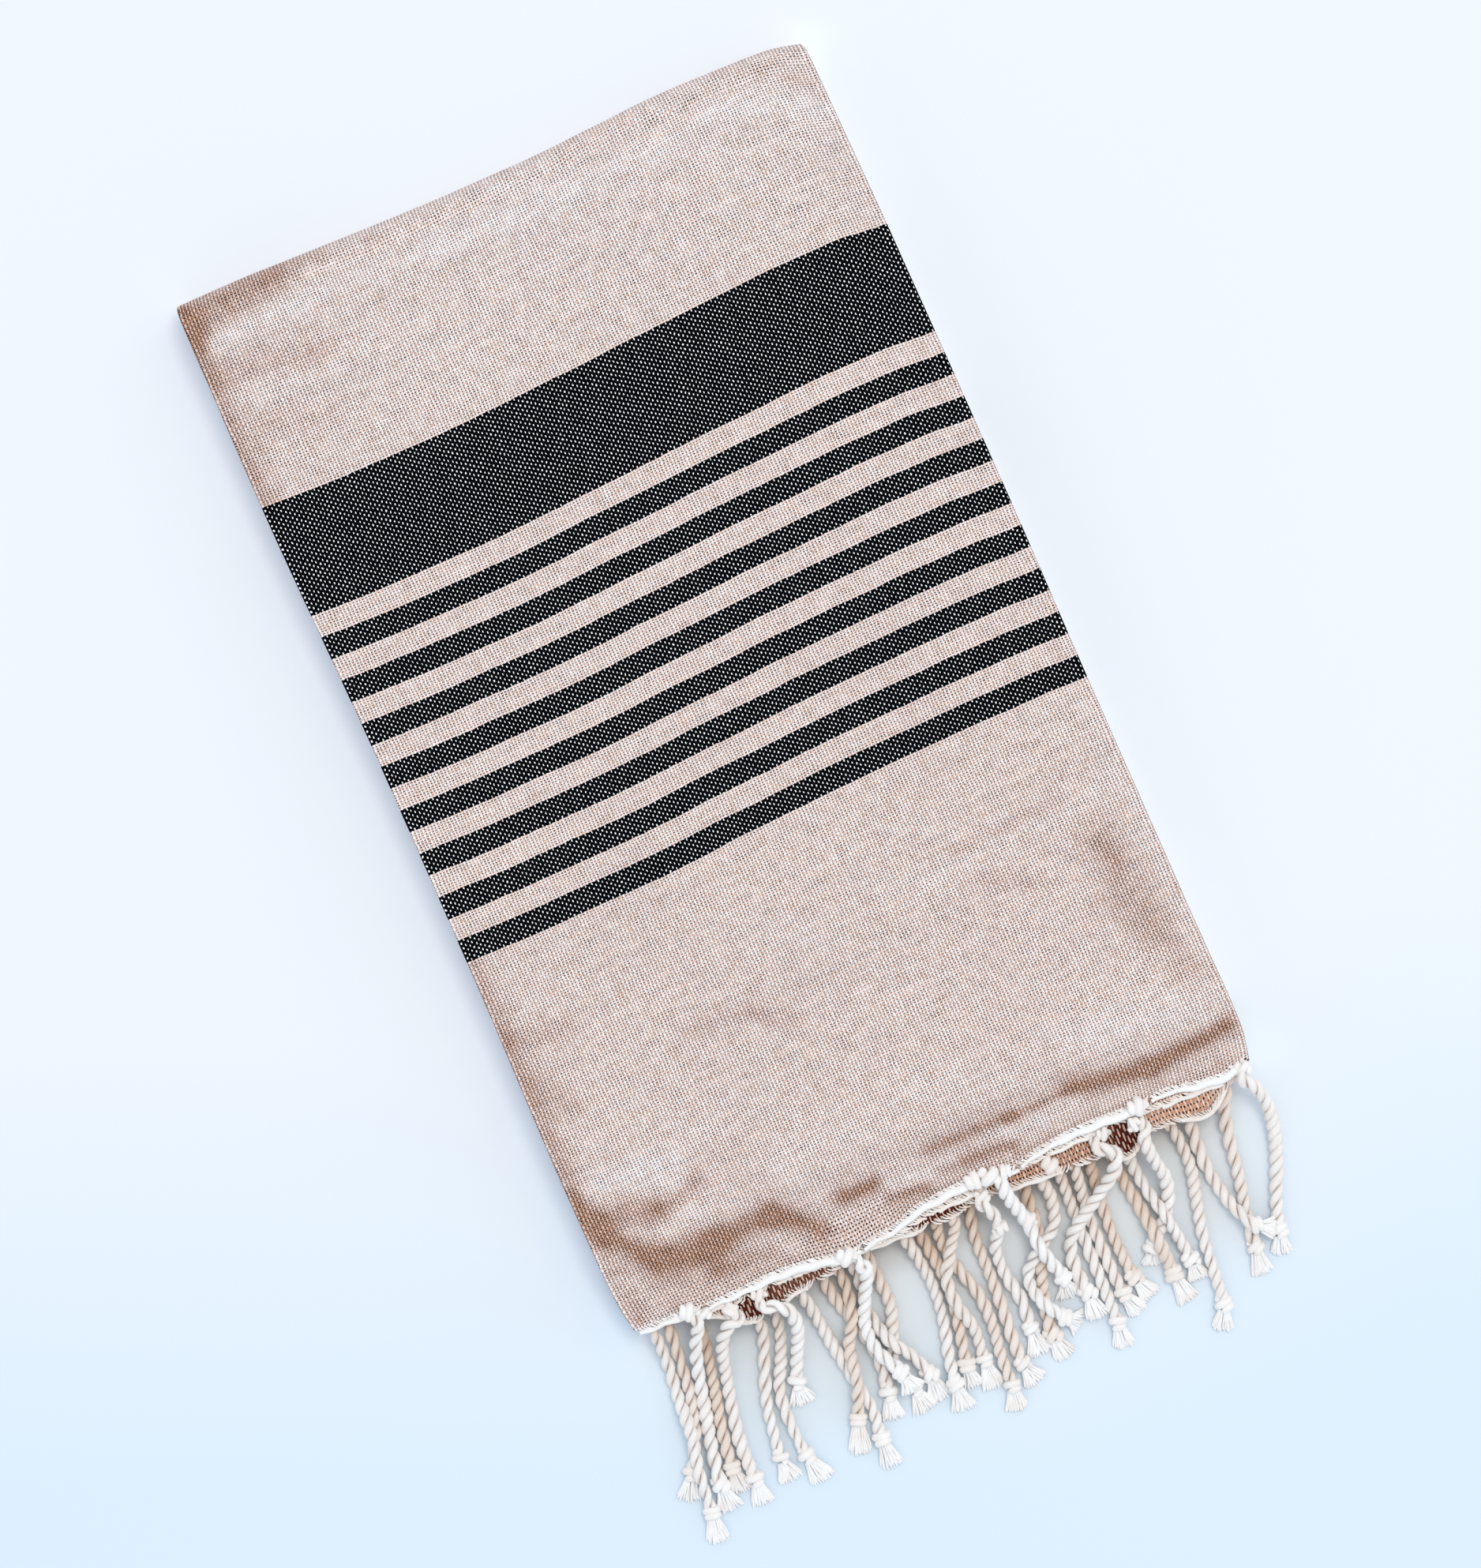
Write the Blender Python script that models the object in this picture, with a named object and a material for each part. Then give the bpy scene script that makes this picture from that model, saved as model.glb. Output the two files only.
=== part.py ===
"""Folded hammam towel with knotted fringe, modelled at real size in metres.

A flat-woven cotton towel, about 1.0 m by 1.65 m, is halved twice across its
width and halved twice along its length. That makes a pile of sixteen layers,
about 250 mm by 415 mm, which lies on its flat underside. Both fringed ends
come out at the -Y side: the upper four layers are one end of the towel, the
next four are the other end, and the lower eight layers turn back just behind
them. Each end has a narrow strip of gathered warp, parted from the cloth's
edge, and the twisted cords of the fringe grow out of that strip, drop to the
surface and lie there, crossing over each other.

Frame: origin at the middle of the underside, +X to the wide soft fold,
+Y to the folded end, +Z up.
"""

from collections import namedtuple
from math import cos, radians, sin

import bmesh
import bpy
import numpy as np

MM = 0.001
TINY = 1e-6
SHARP = 40  # edges sharper than this, in degrees, stay crisp

# ---- cloth, all in millimetres -------------------------------------------------
SHEET = 1.0  # thickness of the woven cloth
PITCH = 1.3  # from one layer of the pile to the next
LAYERS = 16
GAP = 0.3  # between pieces that are not joined
TOP_EDGE = 207.0  # the folded end of the pile, along +Y
STATIONS = (-124.0, -102.0, -80.0, -60.0, -40.0, -15.0, 12.0, 40.0, 68.0, 95.0, 122.5)
SELVEDGE_SET_IN = (0.0, 0.0, 1.5, 2.5)  # how far each level stops short on the left
OUTER_FOLD_STEPS = 4  # faces round the wide fold on the right
INNER_FOLD_STEPS = 3  # faces round each tight fold
LARGE_TURN_STEPS = 7  # faces round the outer turn of the folded end
SMALL_TURN_STEPS = 5  # faces round its inner turn and round the nose
NOSE = -183.0  # where the lower eight layers turn back, under the hems
HEM = -205.0  # nominal end of the cloth, before each layer's own hem line
OVERHANG = -180.0  # past this the hems droop
UPPER_ROWS = (-196.0, -188.0, OVERHANG, -162.0, -140.0, -90.0, -20.0, 60.0, 140.0, 178.0)
LOWER_ROWS = (-110.0, 20.0, 150.0)

# Where each layer of the two fringed ends stops, strip included, at each station.
# Layer 0 is the top of the pile. Layers under the last row step back by HEM_STEP.
HEM_LINES = (
    (-206.5, -207.0, -209.0, -208.5, -212.0, -208.5, -205.0, -205.0, -204.5, -205.0, -206.0),
    (-210.5, -211.0, -212.0, -211.5, -212.5, -211.5, -210.0, -208.0, -208.0, -208.0, -207.0),
    (-209.5, -212.0, -221.0, -217.0, -214.0, -214.0, -215.0, -217.0, -220.0, -219.0, -207.5),
    (-208.0, -209.0, -212.0, -212.0, -210.0, -211.0, -211.0, -211.0, -212.0, -211.0, -206.5),
)
HEM_STEP = 1.0
HEM_LAYERS = 8

# Line of the folded end at each station, against TOP_EDGE.
TOP_LINE = (2.0, 2.2, 1.4, 0.8, 0.4, 0.0, 0.0, 1.0, 1.9, 1.5, -2.5)

# Sides of the pile, as places along Y and how far each side swells outwards there.
SIDE_ROWS = (-200.0, -150.0, -60.0, 20.0, 130.0, 200.0)
LEFT_SWELL = (0.6, 1.2, 0.0, 0.0, 1.0, 0.8)
RIGHT_SWELL = (-0.6, 1.0, 1.6, 1.2, 0.2, -1.2)

# Soft relief of the upper eight layers: a ridge or trough from one place to another.
BASE_LIFT = 1.9
Ridge = namedtuple("Ridge", "x0 y0 x1 y1 breadth height")
RELIEF = (
    Ridge(-130, -156, -76, -166, 13, -1.5),
    Ridge(-130, -184, -46, -188, 12, -1.2),
    Ridge(-106, -146, -60, -149, 10, 0.6),
    Ridge(-48, -170, 100, -177, 10, 0.9),
    Ridge(-120, 190, 108, 188, 9, 0.7),
    Ridge(-125, 176, -96, 179, 8, -0.8),
    Ridge(-64, -114, -28, -110, 15, -0.5),
    Ridge(100, -108, 118, -150, 14, -0.8),
    Ridge(30, -90, 100, -88, 10, -0.4),
    Ridge(0, -60, 10, -130, 26, 0.5),
    Ridge(-30, 165, 40, 150, 24, 0.4),
)
TOPMOST_RISE = 0.5  # part of a layer over which the upper pile starts to droop
# How far the hems droop past the overhang, along Y.
DROOP_ROWS = (OVERHANG, -188.0, -196.0, -226.0)
DROOP = (0.0, 2.7, 4.7, 6.6)

# ---- fringe, in millimetres ----------------------------------------------------
STRIP = 4.0  # width of the strip of gathered warp at each hem
CORD = 4.2  # side of a cord's square section
ROOT_WIDTH = 4.0
ROOT_THICK = SHEET
ROOT_MARGIN = 0.5  # no station of the strip lies nearer than this to a root
ROOT_TAPER = 3.0  # from a plain root to the cord's full section
HEM_KNOT = (7.6, 4.8)  # width and height of the knot where a cord leaves a visible hem
HEM_KNOT_RUN = (1.4, 5.4, 8.0)  # where that knot starts, ends and has become the cord
END_KNOT = (6.4, 5.2)
KNOT_HALF = 2.6  # half the length of an end knot
KNOT_TAPER = 1.4  # from the cord to its end knot
BRUSH_TAPER = 1.0  # from the end knot to the brush
BRUSH_NECK = (3.8, 3.4)
BRUSH_TIP = (5.4, 2.6)
CURVE_STEPS = 24  # samples between two bends of a cord
RING_STEP = 5.6  # between two rings of a cord
FINE_STEP = 0.8  # between two samples of a cord's route
SIDE_CLEAR = 0.3  # beside another cord
OVER_CLEAR = 0.5  # over another cord
EDGE_CLEAR = 1.5  # how far past a lower hem a cord stays above it
STRAIGHT = 4.5  # every cord leaves its hem straight for this far
STEEPEST = 0.62  # the steepest rise over another cord
DROP_SHARE = 1.5  # a cord reaches the surface this many root heights away
DROP_LENGTH = 12.0  # and this much further
SETTLE_PASSES = 26
RING_PASSES = 4
KNOTTED_LAYERS = 2  # the cords of these upper layers start in a knot that shows

# One row for each cord, from the lowest on the surface to the topmost: the layer
# that it grows from, the place of its root along the hem, the bends on its way,
# its end knot and the tip of its brush.
Cord = namedtuple("Cord", "layer root bends knot tip")
CORDS = (
    Cord(3, 112.0, ((109.0, -220.0), (106.5, -232.0), (104.5, -245.0), (101.5, -258.0)),
         (99.5, -271.0), (98.0, -283.0)),
    Cord(0, 119.5, ((123.0, -216.5), (124.5, -225.0), (123.0, -236.0), (118.5, -248.0), (113.5, -259.0)),
         (110.0, -269.5), (107.5, -279.0)),
    Cord(4, 96.0, ((95.2, -224.0), (94.8, -236.0), (96.5, -249.0), (99.5, -258.5)),
         (102.5, -263.5), (109.5, -268.0)),
    Cord(5, 88.0, ((89.3, -222.0), (89.4, -234.0), (86.0, -248.0), (83.0, -261.0), (81.5, -275.0)),
         (80.0, -286.0), (75.5, -295.5)),
    Cord(1, 79.0, ((77.0, -217.0), (77.5, -225.0), (79.0, -234.0), (76.0, -243.5), (70.0, -250.5)),
         (64.5, -256.0), (61.2, -263.5)),
    Cord(7, 64.0, ((64.5, -229.0), (66.0, -241.0), (67.0, -253.0)),
         (67.5, -268.5), (69.0, -281.0)),
    Cord(3, 70.0, ((69.5, -223.0), (70.7, -234.0), (73.0, -246.0), (74.5, -256.0)),
         (75.6, -266.0), (75.6, -275.0)),
    Cord(6, 56.0, ((54.5, -224.0), (53.2, -236.0), (52.5, -248.0)),
         (53.6, -263.5), (57.0, -273.5)),
    Cord(5, 43.5, ((43.0, -226.0), (42.3, -240.0), (41.8, -254.0), (41.4, -266.0)),
         (41.0, -276.5), (39.6, -287.0)),
    Cord(3, 49.5, ((48.6, -224.0), (47.2, -236.0), (46.8, -250.0)),
         (47.3, -267.0), (50.6, -277.5)),
    Cord(1, 60.0, ((65.0, -216.5), (61.5, -223.5), (49.5, -232.0), (38.5, -239.5), (34.8, -249.5)),
         (35.3, -261.5), (35.2, -272.5)),
    Cord(7, 30.0, ((28.5, -224.0), (27.0, -236.0), (22.5, -248.0), (19.0, -259.0)),
         (17.0, -270.5), (18.5, -281.5)),
    Cord(4, 36.0, ((37.0, -223.0), (34.0, -233.5), (24.5, -239.5), (17.3, -247.0), (18.0, -257.0)),
         (23.5, -266.5), (29.0, -272.0)),
    Cord(0, 22.0, ((22.5, -217.0), (25.0, -227.0), (25.5, -237.0), (27.0, -245.0)),
         (29.0, -252.5), (28.6, -261.5)),
    Cord(6, 7.5, ((5.0, -226.0), (4.6, -240.0), (3.8, -254.0), (2.7, -265.0)),
         (2.4, -276.0), (4.8, -286.0)),
    Cord(1, 12.5, ((14.5, -219.0), (14.5, -225.5), (10.5, -232.0), (9.8, -243.0), (11.5, -254.0)),
         (10.5, -265.5), (10.2, -276.5)),
    Cord(5, -6.0, ((-7.2, -222.0), (-5.5, -234.0), (-2.5, -245.0), (-2.1, -257.0), (-4.0, -271.0)),
         (-4.6, -282.0), (-7.0, -292.0)),
    Cord(7, -13.5, ((-12.5, -223.0), (-11.2, -237.0), (-13.0, -250.0)),
         (-17.0, -267.5), (-17.8, -278.0)),
    Cord(3, 0.5, ((-0.5, -219.0), (-5.5, -226.5), (-11.0, -235.5), (-11.2, -247.0), (-9.0, -257.0)),
         (-10.2, -269.0), (-11.2, -281.0)),
    Cord(4, -19.0, ((-17.8, -223.0), (-16.7, -237.0), (-18.7, -251.0), (-22.0, -263.0)),
         (-23.5, -272.5), (-24.5, -284.0)),
    Cord(6, -34.5, ((-34.5, -222.0), (-34.0, -236.0), (-38.0, -247.0), (-41.0, -256.0)),
         (-38.6, -268.0), (-37.6, -279.0)),
    Cord(7, -53.0, ((-52.7, -222.0), (-50.0, -234.0), (-46.8, -246.0), (-46.5, -256.0)),
         (-48.0, -265.5), (-50.2, -277.0)),
    Cord(4, -41.0, ((-41.0, -222.0), (-42.5, -235.0), (-40.0, -247.0), (-34.5, -256.5)),
         (-31.0, -266.0), (-31.0, -277.0)),
    Cord(3, -63.0, ((-61.5, -226.0), (-60.0, -240.0), (-58.0, -255.0), (-56.0, -268.0)),
         (-57.2, -280.0), (-57.5, -293.0)),
    Cord(5, -47.0, ((-46.4, -222.0), (-48.5, -233.0), (-54.5, -244.5), (-57.0, -257.0)),
         (-62.5, -270.5), (-67.0, -283.0)),
    Cord(0, -38.0, ((-36.5, -219.0), (-41.0, -228.0), (-45.5, -238.0), (-45.5, -249.0)),
         (-40.5, -260.0), (-38.5, -269.5)),
    Cord(5, -75.0, ((-75.2, -226.0), (-79.2, -237.0), (-84.8, -248.5), (-86.2, -260.0)),
         (-85.5, -274.5), (-83.0, -286.5)),
    Cord(4, -82.0, ((-81.6, -225.0), (-86.4, -238.0), (-91.2, -251.0), (-93.3, -262.0)),
         (-94.5, -271.0), (-94.5, -282.5)),
    Cord(1, -77.5, ((-73.0, -217.5), (-69.0, -222.0), (-69.0, -229.0), (-72.5, -237.0)),
         (-77.5, -248.0), (-79.0, -257.5)),
    Cord(7, -102.5, ((-103.4, -222.0), (-106.8, -238.0), (-110.5, -253.0)),
         (-112.8, -267.5), (-113.2, -278.5)),
    Cord(1, -87.5, ((-92.0, -217.5), (-97.0, -223.0), (-100.4, -234.0), (-103.9, -248.0), (-106.3, -261.0)),
         (-106.6, -274.5), (-107.5, -286.0)),
    Cord(0, -102.0, ((-105.5, -218.0), (-109.6, -229.0), (-113.3, -244.0), (-116.8, -258.0)),
         (-119.2, -271.5), (-119.4, -283.0)),
    Cord(4, -113.0, ((-114.2, -222.0), (-115.8, -235.0), (-119.5, -248.5), (-123.5, -257.0)),
         (-127.5, -263.5), (-133.0, -273.0)),
    Cord(3, -118.5, ((-119.0, -222.0), (-120.6, -236.0), (-121.5, -250.0), (-124.8, -265.0)),
         (-126.5, -280.0), (-129.0, -292.5)),
)


def base_height(index):
    """Height of the middle of a layer in the flat pile, counted from the underside."""
    return SHEET / 2 + index * PITCH


def hem_rows():
    """Hem line of each of the eight end layers at each station, from the top down."""
    rows = [np.array(row) for row in HEM_LINES]
    while len(rows) < HEM_LAYERS:
        rows.append(rows[-1] + HEM_STEP)
    return rows


HEM_TABLE = hem_rows()


def hem_line(x, index):
    """Y where the strip of a layer ends, for a whole or in-between layer index."""
    places, values = [], []
    flat = SHEET / 2 / PITCH
    for layer in reversed(range(HEM_LAYERS)):
        own = LAYERS - 1 - layer
        value = np.interp(x, STATIONS, HEM_TABLE[layer])
        places += [own - flat, own + flat]
        values += [value, value]
    return np.interp(index, places, values)


def lift_at(x, y):
    """Raise of the topmost layer by the soft ridges and troughs, never below zero."""
    total = BASE_LIFT
    for fold in RELIEF:
        start = np.array((fold.x0, fold.y0), float)
        along = np.array((fold.x1, fold.y1), float) - start
        part = np.clip(np.dot(np.array((x, y)) - start, along) / np.dot(along, along), 0, 1)
        away = np.linalg.norm(np.array((x, y)) - start - part * along) / fold.breadth
        total += fold.height * np.exp(-away * away)
    return max(total, 0.0)


def lift_table():
    """Lift at each crossing of a station and a row, so that all layers share one surface."""
    rows = sorted(UPPER_ROWS + (TOP_EDGE,))
    return rows, np.array([[lift_at(x, y) for x in STATIONS] for y in rows])


LIFT_ROWS, LIFT_TABLE = lift_table()


def surface_change(x, y, index):
    """Change of height of a point of the upper pile at a layer index."""
    across = [np.interp(x, STATIONS, row) for row in LIFT_TABLE]
    lift = np.interp(y, LIFT_ROWS, across)
    share = np.clip((index - LAYERS / 2 + 1) / (LAYERS / 2), 0, 1)
    upper = np.clip((index - LAYERS / 2 + 1) / TOPMOST_RISE, 0, 1)
    droop = np.interp(-y, [-row for row in DROOP_ROWS], DROOP)
    return lift * share - droop * upper


def lay(x, y, z):
    """Move a point of the flat, even pile to its place in the uneven one."""
    index = (z - SHEET / 2) / PITCH
    if y < UPPER_ROWS[0] and index > LAYERS / 2 - 0.5:
        reach = np.clip((UPPER_ROWS[0] - y) / (UPPER_ROWS[0] - HEM), 0, 1)
        y += reach * (hem_line(x, index) + STRIP + GAP - HEM)
    if y > UPPER_ROWS[-2]:
        reach = np.clip((y - UPPER_ROWS[-2]) / (UPPER_ROWS[-1] - UPPER_ROWS[-2]), 0, 1)
        y += reach * np.interp(x, STATIONS, TOP_LINE)
    z += surface_change(x, y, index)
    swell = np.interp(y, SIDE_ROWS, LEFT_SWELL if x < 0 else RIGHT_SWELL)
    x += swell * x / STATIONS[-1]
    return x, y, z


def arc(centre, radius, start, end, steps, inward):
    """Points inside an arc, without its two ends, each with its left-hand normal."""
    points = []
    for step in range(1, steps):
        angle = radians(start + (end - start) * step / steps)
        side = -1 if inward else 1
        points.append((centre[0] + radius * cos(angle), centre[1] + radius * sin(angle),
                       side * cos(angle), side * sin(angle)))
    return points


def across_path(roots=None):
    """Middle line of the cloth across its width, halved twice: x, offset and normal.

    It starts at the selvedge of level 3, turns the wide soft fold on the right to
    level 0, the tight fold on the left to level 1, the inner fold on the right to
    level 2, and ends at the other selvedge. The roots of cords, given by level, get
    a station at each side.
    """
    roots = roots or {}
    offsets = [(1.5 - level) * PITCH for level in range(4)]
    right = STATIONS[-1]
    left = STATIONS[0]

    def level_line(level, rightwards):
        own = roots.get(level, [])
        keep_off = ROOT_WIDTH / 2 + ROOT_MARGIN
        inner = [x for x in STATIONS[1:-1] if all(abs(x - root) > keep_off for root in own)]
        inner += [root + side * ROOT_WIDTH / 2 for root in own for side in (-1, 1)]
        stations = sorted([left + SELVEDGE_SET_IN[level], right] + inner)
        if not rightwards:
            stations.reverse()
        return [(x, offsets[level], 0.0, 1.0 if rightwards else -1.0) for x in stations]

    path = level_line(3, True)
    path += arc((right, 0.0), 1.5 * PITCH, -90, 90, OUTER_FOLD_STEPS, True)
    path += level_line(0, False)
    path += arc((left, PITCH), 0.5 * PITCH, 90, 270, INNER_FOLD_STEPS, True)
    path += level_line(1, True)
    path += arc((right, 0.0), 0.5 * PITCH, 90, -90, INNER_FOLD_STEPS, False)
    path += level_line(2, False)
    return path


def lengthwise_path():
    """Middle line of the four-layer band along the towel: y, height and normal."""
    band = 4 * PITCH
    turn = TOP_EDGE - 7.5 * PITCH - SHEET / 2
    nose = NOSE + 3.5 * PITCH + SHEET / 2
    heights = [base_height(4 * band_number + 1.5) for band_number in range(4)]
    middle = base_height((LAYERS - 1) / 2)
    upper = [HEM] + list(UPPER_ROWS)
    path = [(y, heights[3], 0.0, 1.0) for y in upper + [turn]]
    path += arc((turn, middle), 1.5 * band, 90, -90, LARGE_TURN_STEPS, False)
    lower = [turn] + list(reversed(LOWER_ROWS)) + [nose]
    path += [(y, heights[0], 0.0, -1.0) for y in lower]
    path += arc((nose, (heights[0] + heights[1]) / 2), 0.5 * band, -90, -270, SMALL_TURN_STEPS, False)
    path += [(y, heights[1], 0.0, 1.0) for y in reversed(lower)]
    path += arc((turn, middle), 0.5 * band, -90, 90, SMALL_TURN_STEPS, True)
    path += [(y, heights[2], 0.0, -1.0) for y in reversed(upper + [turn])]
    return path


def thick_sheet(mesh, across, along):
    """Add the swept sheet as a closed body and return its two grids of points."""
    grids = []
    for side in (1.0, -1.0):
        grid = []
        for y, z, ny, nz in along:
            row = []
            for x, offset, nx, na in across:
                out = offset + side * na * SHEET / 2
                place = lay(x + side * nx * SHEET / 2, y + ny * out, z + nz * out)
                row.append(mesh.verts.new([value * MM for value in place]))
            grid.append(row)
        grids.append(grid)
    left, right = grids
    for j in range(len(along) - 1):
        for i in range(len(across) - 1):
            rising = (across[i + 1][0] - across[i][0]) * (along[j + 1][0] - along[j][0]) > 0
            for grid in grids:
                a, b, c, d = grid[j][i], grid[j][i + 1], grid[j + 1][i + 1], grid[j + 1][i]
                mesh.faces.new((a, b, c) if rising else (a, b, d))
                mesh.faces.new((a, c, d) if rising else (b, c, d))
        for i in (0, len(across) - 1):
            mesh.faces.new((left[j][i], left[j + 1][i], right[j + 1][i], right[j][i]))
    for j in (0, len(along) - 1):
        for i in range(len(across) - 1):
            mesh.faces.new((left[j][i], left[j][i + 1], right[j][i + 1], right[j][i]))
    return left, right


def smooth_route(points):
    """Evenly spaced samples of a smooth curve through the given places."""
    points = np.array([2 * np.array(points[0]) - points[1]] + list(points)
                      + [2 * np.array(points[-1]) - points[-2]], float)
    curve = []
    for a, b, c, d in zip(points, points[1:], points[2:], points[3:]):
        for t in np.linspace(0, 1, CURVE_STEPS, endpoint=False):
            curve.append(0.5 * (2 * b + (c - a) * t + (2 * a - 5 * b + 4 * c - d) * t * t
                                + (3 * b - a - 3 * c + d) * t ** 3))
    curve = np.array(curve + [points[-2]])
    length = np.concatenate([[0], np.cumsum(np.linalg.norm(np.diff(curve, axis=0), axis=1))])
    at = np.arange(0, length[-1], FINE_STEP)
    return np.stack([np.interp(at, length, curve[:, 0]), np.interp(at, length, curve[:, 1])], 1)


def layer_top(x, y, index):
    """Height of the upper face of a layer at a place."""
    return base_height(index) + SHEET / 2 + surface_change(x, y, index)


def nearest(route, place):
    """Index of the sample of a route that is nearest to a place."""
    return int(np.argmin(np.linalg.norm(route - np.array(place), axis=1)))


def cord_sections(route, cord):
    """Places along a cord where its section changes, with its widths and heights there."""
    at = np.arange(len(route)) * FINE_STEP
    knot = at[nearest(route, cord.knot)]
    if cord.layer < KNOTTED_LAYERS:
        places = [0.0, *HEM_KNOT_RUN]
        widths = [ROOT_WIDTH, HEM_KNOT[0], HEM_KNOT[0], CORD]
        heights = [ROOT_THICK, HEM_KNOT[1], HEM_KNOT[1], CORD]
    else:
        places = [0.0, ROOT_TAPER]
        widths = [ROOT_WIDTH, CORD]
        heights = [ROOT_THICK, CORD]
    start, end = knot - KNOT_HALF, knot + KNOT_HALF
    places += [start - KNOT_TAPER, start, end, end + BRUSH_TAPER, at[-1]]
    widths += [CORD, END_KNOT[0], END_KNOT[0], BRUSH_NECK[0], BRUSH_TIP[0]]
    heights += [CORD, END_KNOT[1], END_KNOT[1], BRUSH_NECK[1], BRUSH_TIP[1]]
    return places, widths, heights


def underlay(route, width, index):
    """Height that the layers under this one, where they reach further out, ask for."""
    need = np.zeros(len(route))
    ahead = np.gradient(route, axis=0)
    ahead /= np.linalg.norm(ahead, axis=1)[:, None]
    for n, (x, y) in enumerate(route):
        for side in (-0.5, 0.0, 0.5):
            edge_x, edge_y = x + side * width[n] * ahead[n][1], y - side * width[n] * ahead[n][0]
            for lower in range(LAYERS - HEM_LAYERS, index):
                if edge_y > hem_line(edge_x, lower) - EDGE_CLEAR:
                    need[n] = max(need[n], layer_top(edge_x, edge_y, lower) + GAP)
    return need


def overlay(route, width, laid):
    """Height that the cords laid before ask for, wherever this one would touch them."""
    need = np.zeros(len(route))
    for other_route, other_width, other_top in laid:
        apart = np.linalg.norm(route[:, None] - other_route[None], axis=2)
        touch = apart < (width[:, None] + other_width[None]) / 2 + SIDE_CLEAR
        need = np.maximum(need, np.where(touch, other_top[None] + OVER_CLEAR, 0.0).max(axis=1))
    return need


def settle(at, rings, root, need):
    """Height of the underside of a cord at each ring, over all that was laid before."""
    reach = DROP_SHARE * root + DROP_LENGTH
    high = np.maximum(root * np.clip(1 - at / reach, 0, 1) ** 2, need)
    slope = STEEPEST * np.abs(at[:, None] - at[None])
    low = (high[None] - slope).max(axis=1)
    low[0] = root
    for _ in range(SETTLE_PASSES):
        low[1:-1] = np.maximum(need[1:-1], (low[:-2] + low[2:]) / 2)
    bottoms = np.interp(rings, at, low)
    for _ in range(RING_PASSES):
        short = need - np.interp(at, rings, bottoms)
        for n in np.nonzero(short[1:] > 0)[0] + 1:
            after = min(int(np.searchsorted(rings, at[n])), len(rings) - 1)
            for ring in (after - 1, after):
                if ring > 0:
                    bottoms[ring] = max(bottoms[ring], bottoms[ring] + short[n])
                    short[n] = need[n] - np.interp(at[n], rings, bottoms)
    return bottoms


def ring_places(places, total):
    """Places along a cord that carry a ring: each change of section, and even steps between."""
    marks = sorted(set([p for p in places if p < total] + [total]))
    out = []
    for start, end in zip(marks, marks[1:]):
        steps = max(1, round((end - start) / RING_STEP))
        out += list(np.linspace(start, end, steps, endpoint=False))
    return np.array(out + [marks[-1]])


def lay_cords():
    """Settle every cord in the order of its row, each over those before it."""
    laid, done = [], []
    for cord in CORDS:
        index = LAYERS - 1 - cord.layer
        start = (cord.root, float(hem_line(cord.root, index)))
        straight = (start[0], start[1] - STRAIGHT)
        curve = smooth_route([start, straight, *cord.bends, cord.knot, cord.tip])
        at = np.arange(len(curve)) * FINE_STEP
        places, widths, heights = cord_sections(curve, cord)
        rings = ring_places(places, at[-1])
        centres = np.stack([np.interp(rings, at, curve[:, axis]) for axis in (0, 1)], 1)
        route = np.stack([np.interp(at, rings, centres[:, axis]) for axis in (0, 1)], 1)
        width, height = np.interp(at, places, widths), np.interp(at, places, heights)
        need = np.maximum(underlay(route, width, index), overlay(route, width, laid))
        depth = ROOT_THICK if cord.layer < KNOTTED_LAYERS else CORD
        root = float(layer_top(*start, index)) - depth
        bottoms = settle(at, rings, root, need)
        laid.append((route, width, np.interp(at, rings, bottoms) + height))
        sizes = np.stack([np.interp(rings, places, widths), np.interp(rings, places, heights)], 1)
        done.append((cord, centres, bottoms, sizes))
    return done


def grow_cord(mesh, root_ring, centres, bottoms, sizes):
    """Grow one four-sided strand from its root face in the strip."""
    ring = root_ring
    ahead = np.gradient(centres, axis=0)
    for (x, y), (ahead_x, ahead_y), bottom, (width, height) in list(zip(centres, ahead, bottoms, sizes))[1:]:
        scale = width / 2 / np.hypot(ahead_x, ahead_y)
        side_x, side_y = ahead_y * scale, -ahead_x * scale
        top = bottom + height
        corners = [(x + side_x, y + side_y, top), (x + side_x, y + side_y, bottom),
                   (x - side_x, y - side_y, bottom), (x - side_x, y - side_y, top)]
        new = [mesh.verts.new([value * MM for value in corner]) for corner in corners]
        for i in range(4):
            mesh.faces.new((ring[i], ring[(i + 1) % 4], new[(i + 1) % 4], new[i]))
        ring = new
    mesh.faces.new(ring)


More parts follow.
